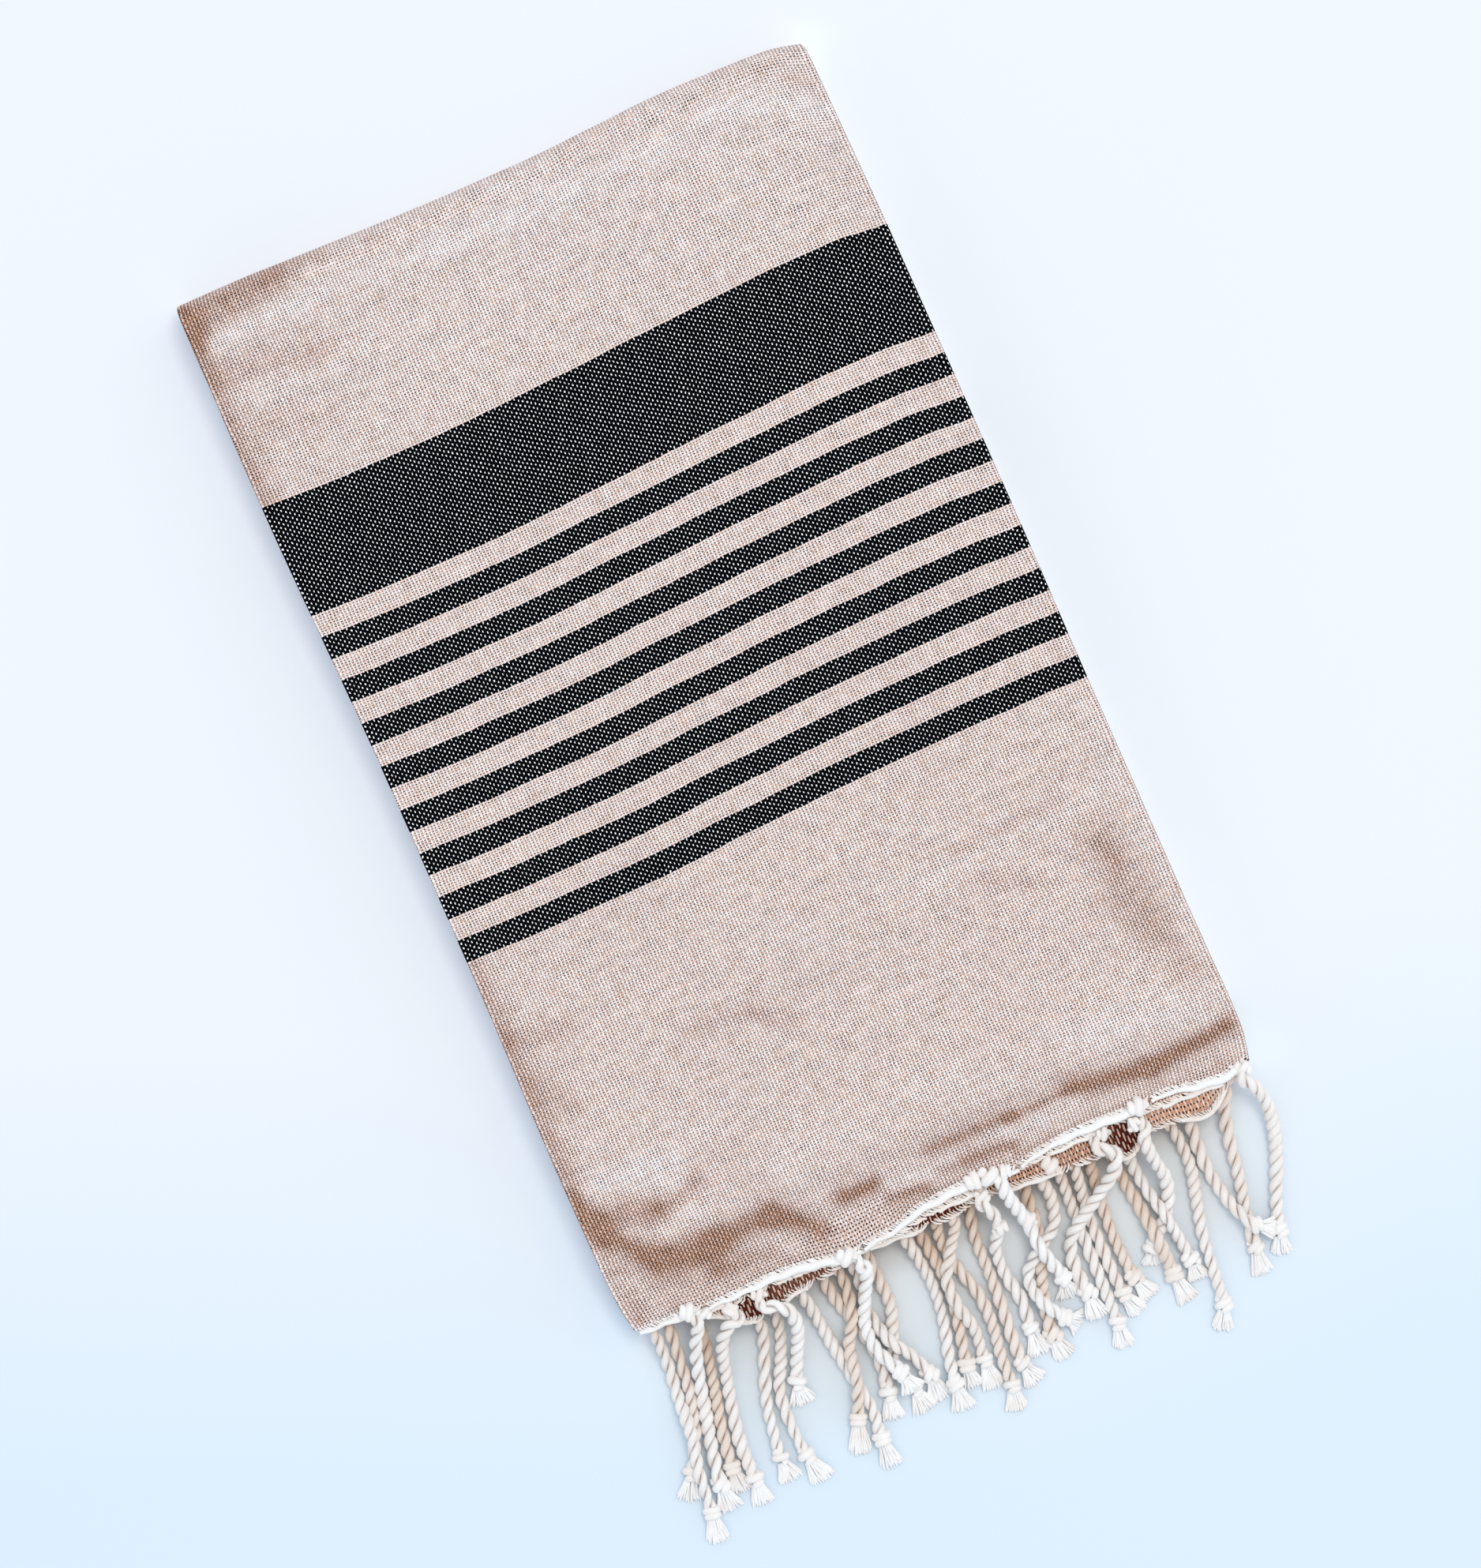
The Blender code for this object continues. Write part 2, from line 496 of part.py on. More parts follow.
def fringe_object(name, band, laid_cords, material):
    """The strip of one end of the towel with all its cords, as one body."""
    first = 4 * band
    upright = band == 0
    levels = dict(zip(range(first, first + 4), range(4) if upright else reversed(range(4))))
    roots = {level: [] for level in range(4)}
    for cord, *_ in laid_cords:
        roots[levels[cord.layer]].append(cord.root)
    across = across_path(roots)
    height = base_height(LAYERS - 1 - first - 1.5)
    normal = 1.0 if upright else -1.0
    along = [(HEM - GAP - reach, height, 0.0, normal) for reach in (0.0, STRIP)]
    mesh = bmesh.new()
    left, right = thick_sheet(mesh, across, along)
    mesh.faces.ensure_lookup_table()
    for cord, centres, bottoms, sizes in laid_cords:
        offset = (1.5 - levels[cord.layer]) * PITCH
        corners = []
        for n, (x, level_offset, nx, _) in enumerate(across):
            at_root = abs(abs(x - cord.root) - ROOT_WIDTH / 2) < TINY
            if at_root and nx == 0 and abs(level_offset - offset) < TINY:
                corners.append(n)
        a, b = sorted(corners)
        ring = [left[1][a], right[1][a], right[1][b], left[1][b]]
        face = next(f for f in ring[0].link_faces if set(f.verts) == set(ring))
        mesh.faces.remove(face)
        westward = sorted(ring, key=lambda v: v.co.x)
        west = sorted(westward[:2], key=lambda v: -v.co.z)
        east = sorted(westward[2:], key=lambda v: v.co.z)
        grow_cord(mesh, west + east, centres, bottoms, sizes)
    return finish_object(name, mesh, material)


def finish_object(name, mesh, material):
    """Turn a bmesh into a named object with outward faces and its material."""
    bmesh.ops.recalc_face_normals(mesh, faces=mesh.faces)
    data = bpy.data.meshes.new(name)
    mesh.to_mesh(data)
    mesh.free()
    data.materials.append(material)
    data.shade_smooth()
    data.set_sharp_from_angle(angle=radians(SHARP))
    made = bpy.data.objects.new(name, data)
    bpy.context.scene.collection.objects.link(made)
    return made


def cotton(name, colour, roughness):
    """A plain cotton material."""
    material = bpy.data.materials.new(name)
    material.use_nodes = True
    shader = material.node_tree.nodes["Principled BSDF"]
    shader.inputs["Base Color"].default_value = (*colour, 1.0)
    shader.inputs["Roughness"].default_value = roughness
    shader.inputs["Metallic"].default_value = 0.0
    return material


def main():
    """Clear the scene and build the cloth and its two fringed ends."""
    for old in list(bpy.data.objects):
        bpy.data.objects.remove(old)
    tan = cotton("tan_cloth", (0.60, 0.47, 0.38), 0.9)
    ecru = cotton("ecru_fringe", (0.84, 0.80, 0.74), 0.85)

    mesh = bmesh.new()
    thick_sheet(mesh, across_path(), lengthwise_path())
    finish_object("folded_cloth", mesh, tan)

    cords = lay_cords()
    upper = [row for row in cords if row[0].layer < 4]
    lower = [row for row in cords if row[0].layer >= 4]
    fringe_object("upper_fringe", 0, upper, ecru)
    fringe_object("lower_fringe", 1, lower, ecru)


if __name__ == "__main__":
    main()
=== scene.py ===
"""Looks of a folded hammam towel with a knotted fringe.

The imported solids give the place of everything. This script lays a woven sheet on
their folds, twists the cords of the fringe along their routes, ties the knots,
spreads the brushes and gathers the loose warp along each hem. Sizes are in
millimetres until a mesh is made, apart from those of node trees, finishes, floor
and lamp, which are in metres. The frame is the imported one: +X to the wide soft
fold, +Y to the folded end, +Z up.
"""

import logging
from dataclasses import dataclass, field
from enum import Enum
from math import cos, pi, radians, sin
from typing import Any, Callable, NamedTuple, Sequence

import bpy
import numpy as np
from bpy.types import Material, Mesh, Node, NodeSocket, NodeTree, Object
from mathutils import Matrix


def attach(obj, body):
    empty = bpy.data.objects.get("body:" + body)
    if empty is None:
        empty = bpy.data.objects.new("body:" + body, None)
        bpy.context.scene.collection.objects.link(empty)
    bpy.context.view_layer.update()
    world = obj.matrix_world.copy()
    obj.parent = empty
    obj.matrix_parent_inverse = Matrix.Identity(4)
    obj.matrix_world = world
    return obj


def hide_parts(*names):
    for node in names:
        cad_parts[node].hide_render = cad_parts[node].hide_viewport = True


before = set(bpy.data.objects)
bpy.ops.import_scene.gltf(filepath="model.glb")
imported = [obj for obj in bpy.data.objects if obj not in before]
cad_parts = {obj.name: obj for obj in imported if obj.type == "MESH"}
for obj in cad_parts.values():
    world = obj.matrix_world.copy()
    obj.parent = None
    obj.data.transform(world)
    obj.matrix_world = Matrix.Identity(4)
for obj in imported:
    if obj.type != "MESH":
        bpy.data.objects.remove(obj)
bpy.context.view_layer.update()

LOG = logging.getLogger("hammam_towel")
MM = 0.001
BODY = "root"
PLAIN = (1.0, 1.0, 1.0, 1.0)


def display(*levels: float) -> tuple[float, float, float, float]:
    """Turn a screen colour, red, green and blue from 0 to 255, into the linear one of a shader."""
    parts = [value / 255 for value in levels]
    return tuple(v / 12.92 if v <= 0.04045 else ((v + 0.055) / 1.055) ** 2.4 for v in parts) + (1.0,)


def eased(at: Any, places: Sequence[float], values: Sequence[float]) -> np.ndarray:
    """Read a table as a smooth curve that never overshoots its own values.

    Args:
        at: where to read it; past either end the last value holds.
        places: rising places of the table.
        values: the value at each place.

    Returns:
        The value at each place asked for.
    """
    x, y = np.asarray(places, float), np.asarray(values, float)
    step = np.diff(x)
    rise = np.diff(y) / step
    slope = np.zeros_like(y)
    before, after = 2 * step[1:] + step[:-1], step[1:] + 2 * step[:-1]
    with np.errstate(divide="ignore", invalid="ignore"):
        inner = (before + after) / (before / rise[:-1] + after / rise[1:])
    slope[1:-1] = np.where(rise[:-1] * rise[1:] > 0, inner, 0.0)
    slope[0], slope[-1] = rise[0], rise[-1]
    at = np.clip(at, x[0], x[-1])
    k = np.clip(np.searchsorted(x, at, side="right") - 1, 0, len(x) - 2)
    t = (at - x[k]) / step[k]
    return (y[k] * (1 + 2 * t) * (1 - t) ** 2 + y[k + 1] * t * t * (3 - 2 * t)
            + step[k] * (slope[k] * t * (1 - t) ** 2 - slope[k + 1] * t * t * (1 - t)))


def plain_sum(operation: str) -> Callable[..., "Wire"]:
    """A method of Wire that adds a Math node of an operation."""
    return lambda wire, *others: wire.sum(operation, *others)


class Wire:
    """A number that a node tree carries, and that takes part in sums like any other."""

    def __init__(self, graph: "Graph", socket: NodeSocket) -> None:
        """Keep the tree and the output socket that gives the number."""
        self.graph, self.socket = graph, socket

    def sum(self, operation: str, *others: Any) -> "Wire":
        """Add a Math node of an operation, with this number first and the others after it."""
        return self.graph.number("ShaderNodeMath", 0, dict(enumerate((self, *others))), operation=operation)

    def __rsub__(self, other: float) -> "Wire":
        """A plain number less this one."""
        return self.sum("MULTIPLY", -1.0).sum("ADD", other)

    __add__ = __radd__ = plain_sum("ADD")
    __mul__ = __rmul__ = plain_sum("MULTIPLY")
    __sub__, __truediv__ = plain_sum("SUBTRACT"), plain_sum("DIVIDE")
    __gt__, __lt__ = plain_sum("GREATER_THAN"), plain_sum("LESS_THAN")
    floor, size = plain_sum("FLOOR"), plain_sum("ABSOLUTE")
    sine, cosine = plain_sum("SINE"), plain_sum("COSINE")
    power, remainder = plain_sum("POWER"), plain_sum("FLOORED_MODULO")
    at_least, at_most = plain_sum("MAXIMUM"), plain_sum("MINIMUM")

    def root(self) -> "Wire":
        """The square root, of zero where the number is negative."""
        return self.at_least(0.0).sum("SQRT")

    def limited(self) -> "Wire":
        """The number held between zero and one."""
        return self.at_least(0.0).at_most(1.0)

    def between(self, low: float, high: float) -> "Wire":
        """Low at zero and high at one, in a straight line."""
        return self * (high - low) + low

    def ramp(self, start: float, rate: float) -> "Wire":
        """Zero at a start, changing at a rate, and held between zero and one."""
        return ((self - start) * rate).limited()


class Graph:
    """A node tree under construction, for a shape or for a finish."""

    def __init__(self, tree: NodeTree) -> None:
        """Work on a given tree."""
        self.tree = tree

    def feed(self, slot: NodeSocket, value: Any) -> None:
        """Set an input socket, or link it where the value comes from a node.

        Args:
            slot: the input socket.
            value: a plain value, a wire or an output socket.
        """
        source = value.socket if isinstance(value, Wire) else value
        if isinstance(source, NodeSocket):
            self.tree.links.new(source, slot)
        else:
            slot.default_value = value[:3] if slot.type == "VECTOR" else value

    def add(self, kind: str, feeds: dict[Any, Any] | None = None, **settings: Any) -> Node:
        """Add a node.

        Args:
            kind: the node's type.
            feeds: its inputs, by name or number, as values, wires or sockets.
            settings: its properties.

        Returns:
            The new node.
        """
        node = self.tree.nodes.new(kind)
        for key, value in settings.items():
            setattr(node, key, value)
        for key, value in (feeds or {}).items():
            self.feed(node.inputs[key], value)
        return node

    def number(self, kind: str, output: Any = 0, feeds: dict[Any, Any] | None = None,
               **settings: Any) -> Wire:
        """Add a node and take one of its outputs as a number."""
        return Wire(self, self.add(kind, feeds, **settings).outputs[output])

    def xyz(self, x: Any, y: Any, z: Any) -> NodeSocket:
        """Join three numbers into a vector."""
        return self.add("ShaderNodeCombineXYZ", {0: x, 1: y, 2: z}).outputs[0]

    def parts(self, vector: NodeSocket) -> list[Wire]:
        """Split a vector into three numbers."""
        return [Wire(self, out) for out in self.add("ShaderNodeSeparateXYZ", {0: vector}).outputs]

    def vector(self, operation: str, first: Any, second: Any) -> NodeSocket:
        """Add a Vector Math node for two vectors, or for a vector and the factor that scales it."""
        feeds = {0: first, "Scale" if operation == "SCALE" else 1: second}
        return self.add("ShaderNodeVectorMath", feeds, operation=operation).outputs[0]

    def noise(self, vector: Any, scale: float, detail: float = 2.0) -> Wire:
        """Soft noise from 0 to 1 over a vector."""
        return self.number("ShaderNodeTexNoise", "Fac", {"Vector": vector, "Scale": scale, "Detail": detail})

    def speck(self, x: Any, y: Any) -> Wire:
        """One random number from 0 to 1 for each whole place."""
        return self.number("ShaderNodeTexWhiteNoise", "Value", {"Vector": self.xyz(x, y, 0.5)})

    def attribute(self, name: str, output: str = "Fac") -> Wire:
        """A named value of the mesh, in a material."""
        return self.number("ShaderNodeAttribute", output, attribute_name=name)

    def mixed(self, share: Any, first: Any, second: Any) -> NodeSocket:
        """Mix two colours by a share from 0 to 1."""
        return self.add("ShaderNodeMix", {0: share, 6: first, 7: second}, data_type="RGBA").outputs[2]

    def tinted(self, colour: Any, share: Any, tint: Any) -> NodeSocket:
        """Multiply a colour by a tint, as far as a share from 0 to 1 says."""
        return self.vector("MULTIPLY", colour, self.mixed(share, PLAIN, tint))


class Finish:
    """What every finish shares: a material with one matt Principled shader, and its bump."""

    specular = 0.03
    sheen_roughness = 0.6

    @staticmethod
    def started(name: str) -> tuple[Material, Graph]:
        """Start a material.

        Args:
            name: the material's name.

        Returns:
            The material and its graph.
        """
        material = bpy.data.materials.new(name)
        material.use_nodes = True
        return material, Graph(material.node_tree)

    def ended(self, graph: Graph, colour: Any, roughness: float, sheen: float = 0.0) -> Node:
        """Give the material its colour and the plain constants of unpolished cotton or paint.

        Args:
            graph: the material's graph.
            colour: the socket that gives the colour.
            roughness, sheen: the shader's values.

        Returns:
            The Principled shader.
        """
        shader = graph.tree.nodes["Principled BSDF"]
        plain = {"Roughness": roughness, "Specular IOR Level": self.specular, "Sheen Weight": sheen,
                 "Sheen Roughness": self.sheen_roughness}
        for key, value in {"Base Color": colour, **plain}.items():
            graph.feed(shader.inputs[key], value)
        return shader

    @staticmethod
    def raised(graph: Graph, shader: Node, height: Wire, depth: float, strength: float) -> None:
        """Let a height, from 0 to 1, stand out by a depth in metres."""
        bump = graph.add("ShaderNodeBump", {"Height": height, "Distance": depth, "Strength": strength})
        graph.feed(shader.inputs["Normal"], bump.outputs["Normal"])


@dataclass(frozen=True)
class StripedWeave(Finish):
    """Plain weave of an ecru warp over a tan weft, with cross stripes of black weft."""

    end_pitch: float = 1.285 * MM
    pick_pitch: float = 8.7 / 9 * MM
    picks: int = 1706
    stripe_picks: int = 9
    wide_stripe_top: int = 344
    wide_units: int = 5
    last_unit: int = 20
    # How far ends and picks wander: a slow noise scale and its share of a pitch, then a fast one.
    sway: tuple = (55.0, 1.0, 520.0, 0.55)
    slant: tuple = (70.0, 0.8, 560.0, 0.55)
    aside: tuple = (3.1, 1.7, 0.0)
    # Noise over a place: its scale and its detail. Noise along yarns: factors of X and Y, and a height.
    patch_noise: tuple = (18.0, 3.0)
    nap_noise: tuple = (1300.0, 3.0)
    fill_noise: tuple = (700.0, 1.0)
    hue_noise: tuple = (170.0, 2.0)
    loose_run: tuple = (230.0, 0.47, 11.0, 2.0)
    end_run: tuple = (0.37, 160.0, 0.0, 1.0)
    pick_run: tuple = (140.0, 0.41, 7.0, 1.0)
    slub_run: tuple = (26.0, 0.83, 3.0, 2.0)
    # Half breadths and their unevenness in shares of a pitch, in tan cloth and in black cloth.
    end_half: tuple = (0.24, 0.175)
    end_uneven: tuple = (0.24, 0.16)
    pick_half: tuple = (0.348, 0.49)
    pick_uneven: float = 0.3
    pick_loose: float = 0.12
    # Yarns thin out under the painted shade, so the gaps between them widen.
    shade_thins: float = 0.03
    black_evens: float = 0.8
    dot_taper: float = 1.08
    rise: float = 0.5
    roundness: float = 0.42
    floor_height: float = -0.75
    gap_height: float = -0.7
    absent: float = 4.0
    ecru: tuple = display(250, 242, 245)
    tan: tuple = display(239, 217, 211)
    deep_tan: tuple = display(216, 184, 167)
    hem_tan: tuple = display(230, 206, 194)
    black: tuple = display(6, 7, 12)
    white_dot: tuple = display(246, 249, 255)
    # Painted shade in the gaps between the yarns, with a paler fill in some of them.
    gap: tuple = display(76, 50, 40)
    filled_gap: tuple = display(168, 138, 122)
    # Painted shade on the lower layers where they look out at the hem: half-shaded and fully shaded gap, tan
    # and ecru.
    brown_gap: tuple = display(104, 54, 36)
    dark_gap: tuple = display(40, 16, 10)
    brown_tan: tuple = display(204, 153, 125)
    dark_tan: tuple = display(84, 36, 28)
    brown_ecru: tuple = display(230, 206, 192)
    dark_ecru: tuple = display(208, 170, 156)
    # Painted shade in the troughs and painted light on the ridges of the top layer, as factors of its colour.
    in_shade: tuple = (0.50, 0.32, 0.21, 1.0)
    in_light: tuple = (1.12, 1.24, 1.36, 1.0)
    warmer: tuple = (1.02, 0.995, 0.975, 1.0)
    cooler: tuple = (0.98, 1.0, 1.025, 1.0)
    brightest: tuple = (0.93, 0.92, 0.91)
    # Lowest and highest factor of each unevenness of tone.
    end_tones: tuple = (0.93, 1.04)
    pick_tones: tuple = (0.94, 1.04)
    slub_tones: tuple = (0.92, 1.08)
    patch_tones: tuple = (0.94, 1.06)
    nap_tones: tuple = (0.66, 1.28)
    # Painted shade where a yarn dips into the weave: its factor at the lowest and at the highest.
    dip_shade_tones: tuple = (0.34, 1.08)
    # Ramps, each a start and a rate.
    dip_shade_ramp: tuple = (-1.0, 0.62)
    deep_ramp: tuple = (0.95 / 2.6, 2.6)
    fill_ramp: tuple = (0.5, 3.0)
    fill_share: float = 0.8
    hue_range: tuple = (-0.75, 1.75)
    warp_shade_share: float = 0.6
    hem_reach: float = 6 * MM
    hem_share: float = 0.35
    roughness: float = 0.95
    bump: tuple = (0.32 * MM, 0.85)
    bump_share: float = 0.6

    def striped(self, pick: Wire) -> Wire:
        """Tell whether a pick is black, counted from either hem of the towel.

        Args:
            pick: the number of the pick from one hem.

        Returns:
            One where it is black, otherwise zero.
        """
        nearer = pick.at_most(self.picks - 1 - pick)
        unit = ((self.wide_stripe_top - 1 - nearer) / self.stripe_picks).floor()
        wide = (unit > -0.5) * (unit < self.wide_units - 0.5)
        even = unit.remainder(2.0) < 0.5
        return wide + (unit > self.wide_units + 0.5) * (unit < self.last_unit + 0.5) * even

    @staticmethod
    def wander(graph: Graph, slow: Any, fast: Any, sizes: tuple) -> Wire:
        """How far yarns lie off their even rows, from a slow and a fast noise over two vectors."""
        far, near = graph.noise(slow, sizes[0]) - 0.5, graph.noise(fast, sizes[2], 1.0) - 0.5
        return far * sizes[1] + near * sizes[3]

    @staticmethod
    def along_yarn(graph: Graph, x: Wire, y: Wire, sizes: tuple) -> Wire:
        """Noise that is long along each yarn and new from yarn to yarn."""
        return graph.noise(graph.xyz(x * sizes[0], y * sizes[1], sizes[2]), 1.0, sizes[3])

    @staticmethod
    def arched(place: Wire, half: Wire) -> Wire:
        """Round height of a yarn over its breadth, from 0 at its edges to 1."""
        share = place / half
        return (1.0 - share * share).root()

    def material(self) -> Material:
        """Build the material, which reads the UV map "weave" and the attributes "shade" and "relief", which
        lead painted shade and painted light.

        Returns:
            The finished material.
        """
        material, graph = self.started("striped_weave")
        place = graph.add("ShaderNodeUVMap", uv_map="weave").outputs[0]
        across, along, _ = graph.parts(place)
        aside = graph.vector("ADD", place, self.aside)
        ends = across / self.end_pitch + self.wander(graph, place, aside, self.sway)
        picks = along / self.pick_pitch + self.wander(graph, aside, place, self.slant)
        end, pick = ends.floor(), picks.floor()
        a, b = ends - end - 0.5, picks - pick - 0.5
        over = 1.0 - (end + pick).remainder(2.0) * 2.0
        black = self.striped(pick)
        shade, relief = graph.attribute("shade"), graph.attribute("relief")
        # Painted shade where the relief attribute is negative and painted light where it is positive.
        trough_shade, ridge = (relief * -1.0).limited(), relief.limited()

        loose = self.along_yarn(graph, across, pick, self.loose_run)
        slub_end = self.along_yarn(graph, end, along, self.end_run) - 0.5
        slub_pick = self.along_yarn(graph, across, pick, self.pick_run) - 0.5
        thinner = trough_shade * self.shade_thins
        end_half = black.between(*self.end_half) + slub_end * black.between(*self.end_uneven) - thinner
        end_half = end_half * (1.0 - black * (1.0 - (b * (pi * self.dot_taper)).cosine().root()))
        uneven = slub_pick * self.pick_uneven + (loose - 0.5) * self.pick_loose - thinner
        pick_half = black.between(*self.pick_half) + uneven * (1.0 - black * self.black_evens)

        end_there, pick_there = a.size() < end_half, b.size() < pick_half
        end_high = (over * (b * pi).cosine() * self.rise + self.arched(a, end_half) * self.roundness
                    - (1.0 - end_there) * self.absent)
        pick_high = (self.arched(b, pick_half) * self.roundness - over * (a * pi).cosine() * self.rise
                     - (1.0 - pick_there) * self.absent)
        top = end_high.at_least(pick_high).at_least(self.floor_height)
        end_wins = end_high > pick_high

        hem = (1.0 - along / self.hem_reach).limited() * self.hem_share
        # Painted shade of the lower layers at the hem: first towards brown, then towards dark.
        half_shaded, full_shaded = (shade * 2.0).limited(), (shade * 2.0 - 1.0).limited()
        warp = graph.mixed(half_shaded, graph.mixed(black, self.ecru, self.white_dot), self.brown_ecru)
        warp = graph.mixed(full_shaded, warp, self.dark_ecru)
        warp = graph.vector("SCALE", warp, graph.speck(end, 0.5).between(*self.end_tones))
        weft = graph.mixed(loose.ramp(*self.deep_ramp), self.tan, self.deep_tan)
        weft = graph.mixed(half_shaded, graph.mixed(hem, weft, self.hem_tan), self.brown_tan)
        weft = graph.mixed(black, graph.mixed(full_shaded, weft, self.dark_tan), self.black)
        weft = graph.vector("SCALE", weft, graph.speck(0.5, pick).between(*self.pick_tones))
        filled = graph.noise(place, *self.fill_noise).ramp(*self.fill_ramp) * self.fill_share
        gap = graph.mixed(black, graph.mixed(filled, self.gap, self.filled_gap), self.black)
        gap = graph.mixed(full_shaded, graph.mixed(half_shaded, gap, self.brown_gap), self.dark_gap)
        cloth = graph.mixed(top < self.gap_height, graph.mixed(end_wins, weft, warp), gap)

        # Painted shade and painted light over the relief, with less of the shade on the warp, then a random
        # warmer or cooler hue.
        sunk = trough_shade * end_wins.between(1.0, self.warp_shade_share)
        painted_light_and_hue = graph.mixed(ridge, graph.mixed(sunk, PLAIN, self.in_shade), self.in_light)
        cool = graph.noise(aside, *self.hue_noise).between(*self.hue_range).limited()
        painted_light_and_hue = graph.tinted(painted_light_and_hue, 1.0 - black, graph.mixed(cool, self.warmer, self.cooler))
        slub = self.along_yarn(graph, across, pick, self.slub_run).between(*self.slub_tones)
        patch = graph.noise(place, *self.patch_noise).between(*self.patch_tones)
        nap = graph.noise(place, *self.nap_noise).between(*self.nap_tones)
        # Painted shade in the low places of the weave.
        depth = top.ramp(*self.dip_shade_ramp).between(*self.dip_shade_tones)
        tone = depth * patch * nap * (slub + black * (1.0 - slub))
        cloth = graph.vector("MULTIPLY", graph.vector("SCALE", cloth, tone), painted_light_and_hue)
        shader = self.ended(graph, graph.vector("MINIMUM", cloth, self.brightest), self.roughness)
        self.raised(graph, shader, (top - self.floor_height) * self.bump_share, *self.bump)
        return material


@dataclass(frozen=True)
class CottonYarn(Finish):
    """Bleached cotton yarn, white outside the pile, with painted warm shade where it comes out of the pile
    and painted shade in the crease between plies.
    """

    name: str
    white: tuple = display(251, 250, 250)
    # Painted shade: a warm shade where the cotton lies in the shade of the pile, a deep shade at the roots of
    # the lower cords, and a crease shade where the plies meet.
    warm: tuple = display(232, 209, 190)
    deep: tuple = display(166, 122, 96)
    crease_shade: tuple = display(162, 126, 104)
    fibres: float = 2.6
    length_scale: float = 190.0
    streaks: tuple = (0.86, 1.1)
    depth: float = 0.22 * MM
    stain_share: float = 0.4
    # How fast the painted warm shade grows, where the painted deep shade starts, and the shares of the
    # painted crease shade.
    warm_rate: float = 1.5
    deep_ramp: tuple = (0.7, 3.0)
    deep_share: float = 0.7
    crease_shares: tuple = (0.45, 0.95)
    streak_noise: tuple = (1.6, 3.0)
    stain_noise: tuple = (160.0, 2.0)
    fleck_noise: tuple = (900.0, 1.0)
    fleck_start: float = 0.74
    fleck_share: float = 2.2
    roughness: float = 0.85
    sheen: float = 0.25
    bump_strength: float = 0.8

    def material(self) -> Material:
        """Build the material, which reads the attributes "ring", "run", "inner" and "warmth".

        Returns:
            The finished material.
        """
        material, graph = self.started(self.name)
        # Two of these attributes lead painted shade: one in the crease between plies, one in the warm shade
        # of the roots and lower layers.
        ring_x, ring_y, _ = graph.parts(graph.attribute("ring", "Vector").socket)
        run = graph.attribute("run") * self.length_scale
        lines = graph.xyz(ring_x * self.fibres, ring_y * self.fibres, run)
        streak = graph.noise(lines, *self.streak_noise)
        place = graph.add("ShaderNodeTexCoord").outputs["Object"]
        stain, fleck = graph.noise(place, *self.stain_noise), graph.noise(place, *self.fleck_noise)
        # Painted warm shade with random stains, then painted deep shade at the roots.
        tint = (graph.attribute("warmth") + (stain - 0.5) * self.stain_share).limited()
        colour = graph.mixed((tint * self.warm_rate).limited(), self.white, self.warm)
        colour = graph.mixed(tint.ramp(*self.deep_ramp) * self.deep_share, colour, self.deep)
        # Painted shade in the crease where the plies meet.
        crease_shaded = graph.attribute("inner") * tint.between(*self.crease_shares)
        colour = graph.mixed(crease_shaded, colour, self.crease_shade)
        speck = 1.0 - (fleck - self.fleck_start).limited() * self.fleck_share
        tone = streak.between(*self.streaks).at_most(1.0) * speck
        shader = self.ended(graph, graph.vector("SCALE", colour, tone), self.roughness, self.sheen)
        self.raised(graph, shader, streak, self.depth, self.bump_strength)
        return material


